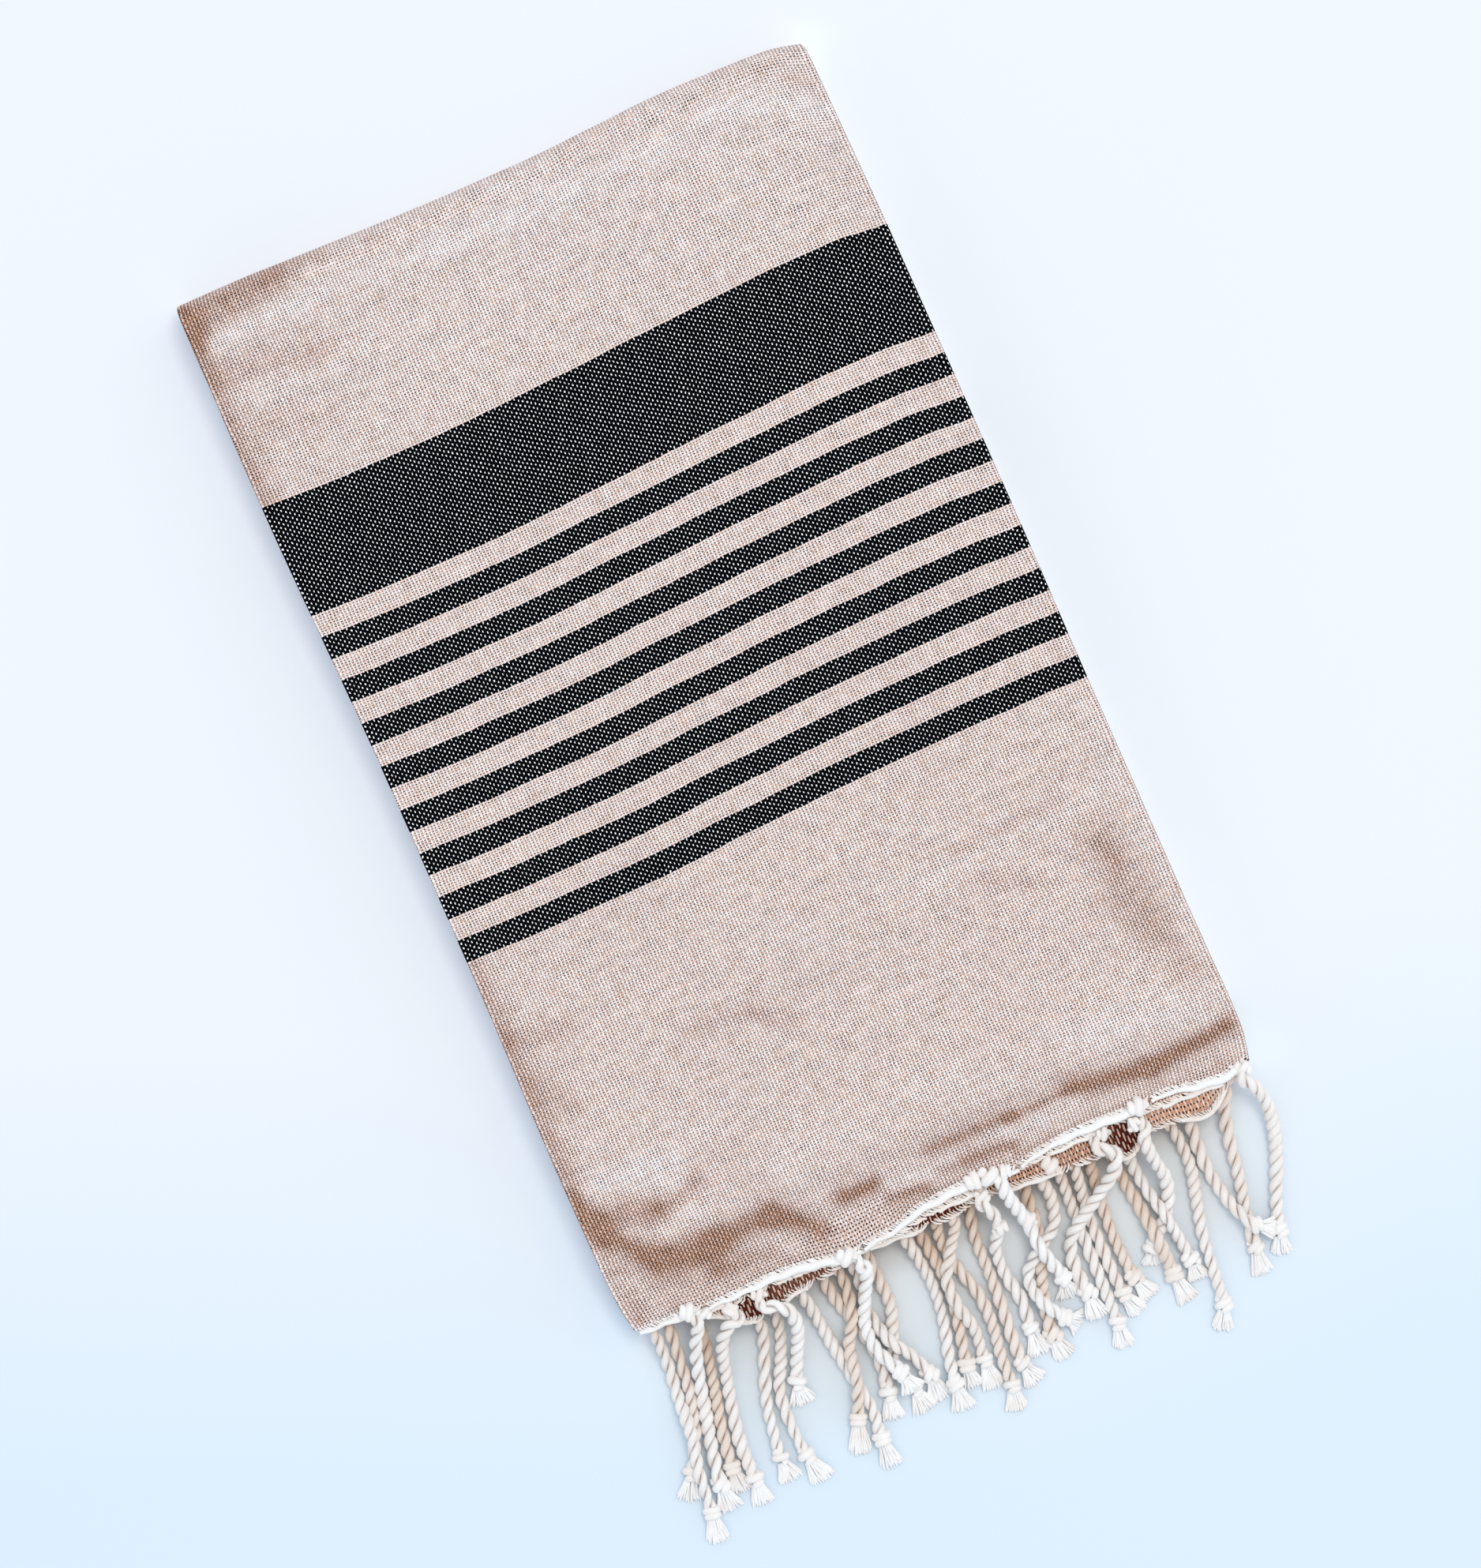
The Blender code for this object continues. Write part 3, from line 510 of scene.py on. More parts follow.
@dataclass(frozen=True)
class FloorPaint(Finish):
    """Pale floor, darker and bluer towards the bottom of the picture, with painted shadow among the cords and
    under the hem, a painted bluish shadow tint and painted light beside the pile, and painted light that
    lifts the contact shadow near it. All sizes in metres.
    """

    colour: tuple = display(235, 240, 247)
    far_colour: tuple = display(219, 234, 247)
    # Painted shadow among the cords and under the hem, then a painted bluish shadow tint left of the pile and
    # painted light right of it.
    shadow_among_cords: tuple = (0.96, 0.925, 0.88, 1.0)
    shadow_under_hem: tuple = (0.72, 0.65, 0.60, 1.0)
    left_shadow_tint: tuple = (0.94, 0.975, 1.03, 1.0)
    right_light_tint: tuple = (1.0, 1.045, 1.06, 1.0)
    pile_half: tuple = (0.125, 0.206)
    # Painted light that lifts the contact shadow near the pile: how strong, and its reach.
    lift: float = 0.2
    lift_reach: float = 0.009
    cloud_noise: tuple = (3.0, 1.0)
    cloud_tones: tuple = (0.985, 1.015)
    # Directions down and to the right in the picture, each a factor of X and one of Y.
    down: tuple = (-0.405, -0.914)
    rightwards: tuple = (0.914, -0.405)
    # Ramps, each a start and a rate per metre.
    far_down: tuple = (0.13, 6.0)
    far_right: tuple = (0.12, 7.0)
    far_right_down: tuple = (-0.1, 5.0)
    far_right_share: float = 0.4
    fringe_sides: tuple = (0.118, -40.0)
    fringe_end: tuple = (-0.275, 40.0)
    fringe_start: tuple = (-0.20, -200.0)
    hem_near: tuple = (-0.229, 60.0)
    beside_ramps: tuple = ((0.024, -1 / 0.024), (0.0, 1 / 0.003), (0.012, -1 / 0.012))

    def material(self) -> Material:
        """Build the material.

        Returns:
            The finished material.
        """
        material, graph = self.started("floor_paint")
        place = graph.add("ShaderNodeTexCoord").outputs["Object"]
        x, y, _ = graph.parts(place)
        wide = (x.size() - self.pile_half[0]).at_least(0.0)
        long = (y.size() - self.pile_half[1]).at_least(0.0)
        near = ((wide * wide + long * long).root() * (-1.0 / self.lift_reach)).sum("EXPONENT")
        down = x * self.down[0] + y * self.down[1]
        right = x * self.rightwards[0] + y * self.rightwards[1]
        corner = right.ramp(*self.far_right) * self.far_right_share * down.ramp(*self.far_right_down)
        far = ((down - self.far_down[0]) * self.far_down[1] + corner).limited()
        colour = graph.mixed(far, self.colour, self.far_colour)
        # Painted shadow on the floor among the cords.
        fringe = x.size().ramp(*self.fringe_sides) * y.ramp(*self.fringe_end) * y.ramp(*self.fringe_start)
        colour = graph.tinted(colour, fringe, self.shadow_among_cords)
        # Painted bluish shadow tint on the left of the pile and painted light on its right, in a band beside
        # it.
        outer, inner, beyond = self.beside_ramps
        beside = wide.ramp(*outer) * wide.ramp(*inner) * long.ramp(*beyond)
        colour = graph.tinted(colour, beside, graph.mixed(x > 0.0, self.left_shadow_tint, self.right_light_tint))
        # Painted shadow under the hem, among the roots of the cords.
        colour = graph.tinted(colour, fringe * y.ramp(*self.hem_near), self.shadow_under_hem)
        cloud = graph.noise(place, *self.cloud_noise).between(*self.cloud_tones)
        # Painted light near the pile, lifting its contact shadow, over a faint random cloud.
        self.ended(graph, graph.vector("SCALE", colour, cloud * near.between(1.0, 1.0 + self.lift)), 1.0)
        return material


@dataclass
class Pile:
    """The folded pile: where each of its sixteen layers lies, with its folds and slumps."""

    sheet: float = 1.0
    pitch: float = 1.3
    layers: int = 16
    right: float = 122.5
    left: float = -124.0
    set_in: tuple = (0.0, 0.0, 1.5, 2.5)
    top_edge: float = 207.0
    nose: float = -183.0
    hem: float = -205.0
    cloth_short: float = 2.0
    hem_reach: float = -196.0
    hem_places: tuple = (-124, -115, -104, -98, -91, -87, -80, -72, -66, -55, -45, -40, -30, -20, -12, 0, 10,
                         20, 28, 38, 50, 60, 70, 80, 90, 103, 112, 122.5)
    hem_lines: tuple = (
        (-207.2, -207.6, -207.9, -208.8, -208.9, -208.8, -208.6, -208.2, -208.3, -209.4, -211.6, -212.6,
         -211.6, -210.4, -207.6, -206.2, -205.6, -206.6, -208.4, -206.2, -204.8, -204.6, -205, -205.8,
         -204.8, -207, -208, -206),
        (-206.8, -207.3, -208, -210, -210.8, -212, -212.5, -211.5, -211.5, -212, -213, -213, -212.5, -213,
         -211.5, -210.5, -210.5, -210, -209, -208.6, -208, -208, -208, -208.5, -209, -209.5, -210, -207.5),
        (-206.6, -207, -208.6, -212, -215.5, -219.5, -221.3, -220, -217.6, -217.2, -215, -214.2, -213.6,
         -214, -215, -215.4, -213.5, -213.5, -214.8, -215.5, -217, -217, -221.5, -216, -216.5, -219, -213,
         -208),
        (-206, -206.4, -207.5, -209.5, -211, -212, -212.5, -212.5, -212, -212, -211, -210.5, -210.5, -211,
         -211, -211, -211, -211, -211, -211.5, -212, -212, -212, -212, -211.5, -211, -209, -207),
    )
    hem_step: float = 0.6
    hem_layers: int = 8
    top_places: tuple = (-124, -102, -80, -60, -40, -15, 12, 40, 68, 95, 112, 122.5)
    top_line: tuple = (4.6, 4.6, 3.9, 3.2, 2.6, 2.1, 2.1, 3.2, 4.4, 3.9, 3, 0.7)
    side_places: tuple = (-207, -191, -150, -60, 20, 130, 200)
    left_swell: tuple = (-0.8, 1.4, 1.7, 0.6, 0.4, 1.9, 1.4)
    right_swell: tuple = (-0.4, 2.2, 1.9, 1.9, 2.4, 2, 1)
    base_lift: float = 1.9
    # Soft ridges, or troughs where the height is negative: from x, y to x, y, breadth and height.
    relief: tuple = (
        (-130, -156, -76, -166, 13, -1.5), (-130, -184, -46, -188, 12, -1.2),
        (-106, -146, -60, -149, 10, 0.6), (-48, -170, 100, -177, 10, 0.9), (-120, 190, 108, 188, 9, 0.7),
        (-125, 176, -96, 179, 8, -0.8), (-64, -114, -28, -110, 15, -0.5), (100, -108, 118, -150, 14, -0.8),
        (30, -90, 100, -88, 10, -0.4), (0, -60, 10, -130, 26, 0.5), (-30, 165, 40, 150, 24, 0.4),
    )
    creases: tuple = (
        (-118, -160, -86, -170, 4.5, 0.35), (-70, -176, -40, -183, 4, -0.35),
        (-34, -186, 8, -190, 3.5, 0.3), (20, -186, 64, -184, 3.5, -0.35), (60, -190, 112, -186, 4, 0.35),
        (20, -88, 74, -84, 2.6, -0.22), (36, -92, 86, -93, 2.2, 0.16), (-92, -120, -60, -128, 6, 0.25),
        (-20, -118, 6, -114, 7, -0.25), (60, -118, 96, -126, 7, 0.25), (-112, 160, -80, 170, 7, 0.25),
        (48, 170, 92, 176, 7, -0.25), (-40, 184, 24, 192, 5, 0.35), (-112, 196, -60, 198, 4, -0.25),
        (-60, 20, -66, -40, 10, -0.15), (84, 60, 90, -20, 10, 0.2), (-124, -199, -104, -202, 3, 0.5),
        (-60, -203, -36, -207, 3.2, 0.9), (-34, -204, -14, -203, 3, -0.5), (4, -201, 26, -203, 3.4, 0.8),
        (34, -201, 56, -199, 3, 0.6), (66, -201, 88, -202, 3.2, 0.8), (96, -203, 118, -203, 3, 0.5),
    )
    # Where painted light makes the cloth paler, or painted shade makes it darker and browner where negative,
    # in the same way.
    painted_light_and_shade: tuple = (
        (-126, -157, -121, -166, 4.5, -0.95), (-120, -167, -108, -182, 4.5, -0.9),
        (-104, -185, -86, -189, 7.5, -0.95), (-84, -186, -62, -186, 5, -0.8),
        (-60, -186, -46, -198, 4.5, -0.95), (-34, -191, -22, -191, 3.4, -0.95),
        (-18, -198, -4, -200, 2.4, -0.7), (2, -187, 36, -188, 2.4, -0.7), (4, -196, 32, -198, 2.6, -0.8),
        (34, -189, 58, -188, 2.4, -0.55), (60, -188, 90, -193, 3.8, -1), (90, -193, 122, -190, 3.6, -1),
        (-118, -161, -100, -166, 5, -0.65), (-97, -168, -82, -163, 4.6, -0.55),
        (-88, -197, -66, -198, 3.2, -0.4), (-116, -149, -86, -152, 4.8, 0.7),
        (-96, -156, -88, -160, 4.4, 0.5), (-76, -147, -56, -142, 2.4, 0.35),
        (-98, -175, -84, -172, 3.6, 0.35), (-52, -169, -44, -180, 4, 0.45), (-44, -166, -8, -173, 5, 0.2),
        (8, -164, 48, -179, 4.6, 0.22), (60, -164, 76, -178, 5, 0.3), (78, -172, 116, -181, 6, 0.35),
        (-14, -193, 8, -195, 2.6, 0.55), (30, -194, 60, -192, 2.6, 0.4), (-122, -186, -114, -198, 4.5, 0.2),
        (-70, 162, 120, 168, 42, 0.22), (0, 185, 110, 188, 16, 0.14), (-60, 40, 100, 45, 60, 0.1),
        (106, -108, 118, -165, 9, -0.3), (-118, -197, -70, -204, 6, -0.3), (-60, -204, 116, -203, 4, -0.3),
        (70, -172, 120, -173, 6, 0.2), (-125, -56, -124, -150, 5, -0.55), (-122, -88, -104, -92, 5, -0.3),
        (-120, -106, -112, -119, 6, -0.3), (-62, -111, -38, -113, 3.2, -0.25),
        (-36, -115, -26, -123, 4, -0.28), (54, -91, 98, -89, 2, -0.36), (48, -94, 112, -93, 2.2, 0.3),
        (112, -90, 122, -85, 2.6, 0.35), (40, -75, 58, -82, 2.2, 0.3), (106, -108, 109, -120, 3.6, -0.32),
        (101, -130, 110, -146, 6.5, -0.24), (60, -104, 84, -116, 3.2, -0.25), (-14, -96, 0, -101, 4, 0.25),
        (-28, -92, -20, -90, 4, 0.2), (20, -90, 44, -97, 5, 0.2), (122, -60, 122, -160, 3.5, 0.25),
        (-120, 192, -80, 193.5, 3, 0.7), (-84, 194, -30, 192, 4.2, 0.45), (-30, 191, 24, 189, 5.6, 0.6),
        (-2, 203, 18, 196, 3, 0.4), (24, 189, 60, 190, 4, 0.4), (60, 192, 100, 193, 4.6, 0.35),
        (84, 197, 118, 186, 3, 0.6), (113, 184, 123, 178, 4, 0.4), (-124, 202, -88, 204, 7, -0.55),
        (-124, 208, -70, 208, 5, -0.35), (-124, -150, -121, -200, 4, -0.35), (-126, 206, -122, 194, 4.6, -1),
        (96, 206, 112, 203, 3.4, -0.15), (-122, 180, -84, 174, 6, -0.3), (-92, 172, -76, 174, 4, -0.2),
        (-114, 156, -84, 152, 7, -0.25), (-110, 168, -80, 164, 4, 0.2), (-126, 190, -125, 130, 5, -0.6),
        (66, 176, 70, 175, 2, -0.4), (114, 196, 123, 190, 3.2, -0.35), (-52, 204, -48, 204, 2.4, -0.4),
    )
    # Ripples all over: a height, and the lengths of the waves that cross there.
    ripple: tuple = (0.10, 11, 37, 13, 41)
    small_ripple: tuple = (0.05, 5.3, 6.1)
    topmost_rise: float = 0.5
    top_start: float = 140.0
    top_reach: float = 38.0
    droop_places: tuple = (180, 188, 196, 226)
    droop: tuple = (0, 2.7, 4.7, 6.6)
    hems: list = field(init=False)

    def __post_init__(self) -> None:
        """Complete the table of hem lines down to the eighth layer."""
        self.hems = [np.array(row) for row in self.hem_lines]
        while len(self.hems) < self.hem_layers:
            self.hems.append(self.hems[-1] + self.hem_step)

    def index_of(self, layer: Any) -> Any:
        """Number from the underside of a layer counted from the top."""
        return self.layers - 1 - layer

    def base_height(self, index: float) -> float:
        """Height of the middle of a layer of the flat pile, counted from the underside."""
        return self.sheet / 2 + index * self.pitch

    def hem_line(self, x: Any, index: Any) -> np.ndarray:
        """Find where the gathered warp of a layer ends.

        Args:
            x: places across the towel.
            index: layer indices, whole or in between, counted from the underside.

        Returns:
            Y at each place.
        """
        x, index = np.broadcast_arrays(np.asarray(x, float), np.asarray(index, float))
        table = np.stack([eased(x, self.hem_places, row) for row in self.hems])
        layer = np.clip(self.index_of(index), 0, self.hem_layers - 1)
        first = np.clip(np.floor(layer), 0, self.hem_layers - 2).astype(int)
        flat = self.sheet / 2 / self.pitch
        share = np.clip((layer - first - flat) / (1 - 2 * flat), 0, 1)
        upper = np.take_along_axis(table, first[None], 0)[0]
        lower = np.take_along_axis(table, first[None] + 1, 0)[0]
        return upper * (1 - share) + lower * share

    @staticmethod
    def hump(ridge: tuple, x: np.ndarray, y: np.ndarray) -> np.ndarray:
        """Height of one soft ridge over the places given."""
        x0, y0, x1, y1, breadth, height = ridge
        along_x, along_y = x1 - x0, y1 - y0
        part = np.clip(((x - x0) * along_x + (y - y0) * along_y) / (along_x ** 2 + along_y ** 2), 0, 1)
        away = (x - x0 - part * along_x) ** 2 + (y - y0 - part * along_y) ** 2
        return height * np.exp(-away / breadth ** 2)

    def lift(self, x: np.ndarray, y: np.ndarray) -> np.ndarray:
        """Raise of the topmost layer by its soft ridges, troughs and creases."""
        total = np.full(np.broadcast(x, y).shape, self.base_lift)
        for ridge in self.relief + self.creases:
            total = total + self.hump(ridge, x, y)
        high, a, b, c, d = self.ripple
        total = total + high * np.sin(x / a + y / b) * np.sin(y / c - x / d)
        high, a, b = self.small_ripple
        total = total + high * np.sin(x / a) * np.sin(y / b)
        return np.maximum(total, 0.0)

    def surface_change(self, x: Any, y: Any, index: Any) -> np.ndarray:
        """Change of height of a point of the pile at a layer index."""
        over = np.asarray(index) - self.layers / 2 + 1
        share = np.clip(over / (self.layers / 2), 0, 1)
        upper = np.clip(over / self.topmost_rise, 0, 1)
        fall = eased(-np.asarray(y, float), self.droop_places, self.droop)
        return self.lift(np.asarray(x, float), np.asarray(y, float)) * share - fall * upper

    def layer_top(self, x: Any, y: Any, index: Any) -> np.ndarray:
        """Height of the upper face of a layer at a place."""
        return self.base_height(index) + self.sheet / 2 + self.surface_change(x, y, index)

    def lay(self, x: np.ndarray, y: np.ndarray, z: np.ndarray) -> tuple[np.ndarray, np.ndarray, np.ndarray]:
        """Move points of the flat, even pile to their places in the uneven one.

        Args:
            x, y, z: the points, as arrays of one shape.

        Returns:
            The three moved arrays.
        """
        index = (z - self.sheet / 2) / self.pitch
        reach = np.clip((self.hem_reach - y) / (self.hem_reach - self.hem), 0, 1)
        reach = np.where(index > self.layers / 2 - 0.5, reach, 0.0)
        y = y + reach * (self.hem_line(x, index) + self.cloth_short - self.hem)
        far = np.clip((y - self.top_start) / self.top_reach, 0, 1)
        y = y + far * eased(x, self.top_places, self.top_line)
        z = z + self.surface_change(x, y, index)
        swell = np.where(x < 0, eased(y, self.side_places, self.left_swell),
                         eased(y, self.side_places, self.right_swell))
        return x + swell * x / self.right, y, z


class Fold(NamedTuple):
    """A point of a section of the sheet: its place, its offset and its normal."""

    place: float
    offset: float
    normal_place: float
    normal_offset: float


@dataclass
class WovenCloth:
    """The one woven sheet of the towel, folded back and forth, with its hems."""

    pile: Pile
    finish: StripedWeave
    fine: float = 2.6
    coarse: float = 20.0
    hem_fine: float = 1.3
    flat: tuple = (1.0, 1.65)
    outer_steps: int = 12
    inner_steps: int = 5
    turn_steps: int = 14
    small_steps: int = 8
    sparse_steps: int = 15
    lower_places: int = 12
    hem_end: float = -168.0
    shift_places: tuple = (-124, -115, -95, -75, -55, -35, -15, 5, 25, 45, 65, 85, 105, 122.5)
    shift_top: tuple = (1.6, 1, 0.3, 0, 0, 0.7, 1.7, 2.5, 3.7, 4.5, 5.5, 6.3, 6.3, 4.6)
    shift_low: tuple = (0.2, 0, -0.3, 0, 0, 0.7, 2, 2.7, 3.7, 4.2, 4.4, 4.7, 4.7, 4.4)
    # Where along the towel the stripes' shift changes, and where the shift fades towards the hem.
    shift_start: float = -55.0
    shift_reach: float = 183.0
    free_start: float = -205.0
    free_reach: float = 120.0
    least_free: float = 0.2
    # Painted shading by slope: its share, the reach over which slopes are read, and their weights, which
    # point towards the light.
    slope_shading: float = 0.4
    slope_reach: float = 1.5
    slope_weights: tuple = (0.6, 0.8)
    # The painted light and shade take in more layers where they look out at the folded end: its start, reach
    # and depth.
    top_nose: tuple = (200.0, 4.0, 6.0)
    topmost: float = 0.6
    # Layer numbers that get painted shade at the hem, where that shade starts and how soft its edges are.
    dark_layers: tuple = (11.4, 14.4)
    dark_start: float = -200.0
    dark_reach: float = 6.0
    dark_edge: float = 3.0
    # Spans across the hem and the strength of the painted shade in each.
    dark_patches: tuple = (
        (-126, -92, 0.5), (-95, -68, 1), (-78, -40, 0.9), (-30, 12, 1), (12, 62, 0.6), (60, 79, 1),
        (80, 106, 0.5), (104, 124, 0.35),
    )

    @staticmethod
    def arc(centre: tuple[float, float], radius: float, start: float, end: float, steps: int,
            inward: bool) -> list[Fold]:
        """Points inside an arc, without its ends, with left-hand normals."""
        side = -1 if inward else 1
        angles = [radians(start + (end - start) * step / steps) for step in range(1, steps)]
        return [Fold(centre[0] + radius * cos(a), centre[1] + radius * sin(a), side * cos(a), side * sin(a))
                for a in angles]

    def across(self) -> list[Fold]:
        """The sheet's middle line across its width, halved twice, from selvedge to selvedge."""
        pile = self.pile
        offsets = [(1.5 - level) * pile.pitch for level in range(4)]

        def line(level: int, step: float, rightwards: bool) -> list[Fold]:
            """One level of the section, from one side to the other."""
            start = pile.left + pile.set_in[level]
            count = max(2, round((pile.right - start) / step))
            places = np.linspace(start, pile.right, count + 1)
            normal = 1.0 if rightwards else -1.0
            return [Fold(x, offsets[level], 0.0, normal) for x in (places if rightwards else places[::-1])]

        path = line(3, self.coarse, True)
        path += self.arc((pile.right, 0.0), 1.5 * pile.pitch, -90, 90, self.outer_steps, True)
        path += line(0, self.fine, False)
        path += self.arc((pile.left, pile.pitch), 0.5 * pile.pitch, 90, 270, self.inner_steps, True)
        path += line(1, self.coarse / 2, True)
        path += self.arc((pile.right, 0.0), 0.5 * pile.pitch, 90, -90, self.inner_steps, False)
        path += line(2, self.coarse / 3, False)
        return path

    def lengthwise(self) -> list[Fold]:
        """The middle line of the four-layer band along the towel, from hem to hem."""
        pile = self.pile
        band = 4 * pile.pitch
        turn = pile.top_edge - 7.5 * pile.pitch - pile.sheet / 2
        nose = pile.nose + 3.5 * pile.pitch + pile.sheet / 2
        heights = [pile.base_height(4 * number + 1.5) for number in range(4)]
        middle = pile.base_height((pile.layers - 1) / 2)
        hem = np.arange(pile.hem, self.hem_end, self.hem_fine)
        count = round((turn - hem[-1]) / self.fine)
        upper = np.concatenate([hem, np.linspace(hem[-1], turn, count + 1)[1:]])
        sparse = np.concatenate([hem[::2], np.linspace(hem[::2][-1], turn, self.sparse_steps + 1)[1:]])
        lower = np.linspace(turn, nose, self.lower_places)
        path = [Fold(y, heights[3], 0.0, 1.0) for y in upper]
        path += self.arc((turn, middle), 1.5 * band, 90, -90, self.turn_steps, False)
        path += [Fold(y, heights[0], 0.0, -1.0) for y in lower]
        low = (nose, (heights[0] + heights[1]) / 2)
        path += self.arc(low, 0.5 * band, -90, -270, self.small_steps, False)
        path += [Fold(y, heights[1], 0.0, 1.0) for y in lower[::-1]]
        path += self.arc((turn, middle), 0.5 * band, -90, 90, self.small_steps, True)
        path += [Fold(y, heights[2], 0.0, -1.0) for y in sparse[::-1]]
        return path

    def shift(self, x: np.ndarray, y: np.ndarray) -> np.ndarray:
        """How far the stripes lie off their straight place."""
        share = np.clip((y - self.shift_start) / self.shift_reach, 0, 1)
        free = np.clip((y - self.free_start) / self.free_reach, self.least_free, 1)
        return free * (eased(x, self.shift_places, self.shift_low) * (1 - share)
                       + eased(x, self.shift_places, self.shift_top) * share)

    def build(self) -> Object:
        """Build the sheet as one closed body with its UV map, its painted shade and its relief, which leads
        painted light and shade.

        Returns:
            The dressed object.
        """
        pile = self.pile
        across, along = np.array(self.across()), np.array(self.lengthwise())
        rows, columns = len(along), len(across)
        width = np.concatenate([[0], np.cumsum(np.hypot(*np.diff(across[:, :2], axis=0).T))])
        length = np.concatenate([[0], np.cumsum(np.hypot(*np.diff(along[:, :2], axis=0).T))])
        points, maps, shades, reliefs = [], [], [], []
        for side in (1.0, -1.0):
            out = across[:, 1] + side * across[:, 3] * pile.sheet / 2
            x = np.broadcast_to(across[:, 0] + side * across[:, 2] * pile.sheet / 2, (rows, columns))
            y = along[:, :1] + along[:, 2:3] * out
            z = along[:, 1:2] + along[:, 3:] * out
            index = (z - pile.sheet / 2) / pile.pitch
            laid = pile.lay(x, y, z)
            points.append(np.stack(laid, -1).reshape(-1, 3))
            weave = length[:, None] - self.shift(laid[0], laid[1])
            maps.append(np.stack([np.broadcast_to(width, (rows, columns)), weave], -1).reshape(-1, 2))
            shades.append(self.shade(laid[0], laid[1], index).ravel())
            reliefs.append(self.relief(laid[0], laid[1], index).ravel())
        faces = self.shell(rows, columns)
        mesh = bpy.data.meshes.new("woven_cloth")
        mesh.from_pydata(np.concatenate(points) * MM, [], faces)
        layer = mesh.uv_layers.new(name="weave")
        loops = np.empty(len(mesh.loops), int)
        mesh.loops.foreach_get("vertex_index", loops)
        layer.data.foreach_set("uv", (np.concatenate(maps)[loops] * MM).ravel())
        Workbench.numbers(mesh, shade=np.concatenate(shades), relief=np.concatenate(reliefs))
        return Workbench.place("woven_cloth", mesh, self.finish.material())

    def relief(self, x: np.ndarray, y: np.ndarray, index: np.ndarray) -> np.ndarray:
        """How much painted light, or painted shade where negative, the top layer gets, from its slopes
        against the light and from the rows of painted light and shade.
        """
        pile, reach, top = self.pile, self.slope_reach, float(self.pile.layers - 1)
        east = pile.surface_change(x + reach, y, top) - pile.surface_change(x - reach, y, top)
        north = pile.surface_change(x, y + reach, top) - pile.surface_change(x, y - reach, top)
        slope = (self.slope_weights[0] * east + self.slope_weights[1] * north) / (2 * reach)
        value = -self.slope_shading * slope
        for ridge in pile.painted_light_and_shade:
            value = value + pile.hump(ridge, x, y)
        start, soft, deep = self.top_nose
        looking_up = index > top - self.topmost - deep * np.clip((y - start) / soft, 0, 1)
        return np.where(looking_up, np.clip(value, -1, 1), 0.0)

    def shade(self, x: np.ndarray, y: np.ndarray, index: np.ndarray) -> np.ndarray:
        """How deep the painted shade is on the cloth of the second and third layers where it looks out at the
        hem.
        """
        covered = (index > self.dark_layers[0]) & (index < self.dark_layers[1])
        near = np.clip((self.dark_start - y) / self.dark_reach, 0, 1)
        value = np.zeros_like(x)
        for start, end, strength in self.dark_patches:
            inside = np.clip((x - start) / self.dark_edge, 0, 1) * np.clip((end - x) / self.dark_edge, 0, 1)
            value = np.maximum(value, inside * strength)
        return np.where(covered, value * near, 0.0)

    @staticmethod
    def shell(rows: int, columns: int) -> list[tuple[int, int, int, int]]:
        """List the faces of the sheet's two sides and its four edges.

        Args:
            rows, columns: the size of each side's grid of points.

        Returns:
            Faces with outward normals.
        """
        grid = np.arange(rows * columns).reshape(rows, columns)
        back = grid + rows * columns

        def quads(a: np.ndarray, b: np.ndarray, c: np.ndarray, d: np.ndarray) -> list:
            """Faces whose four corners are in four arrays of one shape."""
            return np.stack([a.ravel(), b.ravel(), c.ravel(), d.ravel()], 1).tolist()

        faces = quads(grid[:-1, :-1], grid[1:, :-1], grid[1:, 1:], grid[:-1, 1:])
        faces += quads(back[:-1, :-1], back[:-1, 1:], back[1:, 1:], back[1:, :-1])
        faces += quads(grid[:-1, 0], back[:-1, 0], back[1:, 0], grid[1:, 0])
        faces += quads(grid[:-1, -1], grid[1:, -1], back[1:, -1], back[:-1, -1])
        faces += quads(grid[0, :-1], grid[0, 1:], back[0, 1:], back[0, :-1])
        faces += quads(grid[-1, :-1], back[-1, :-1], back[-1, 1:], grid[-1, 1:])
        return faces


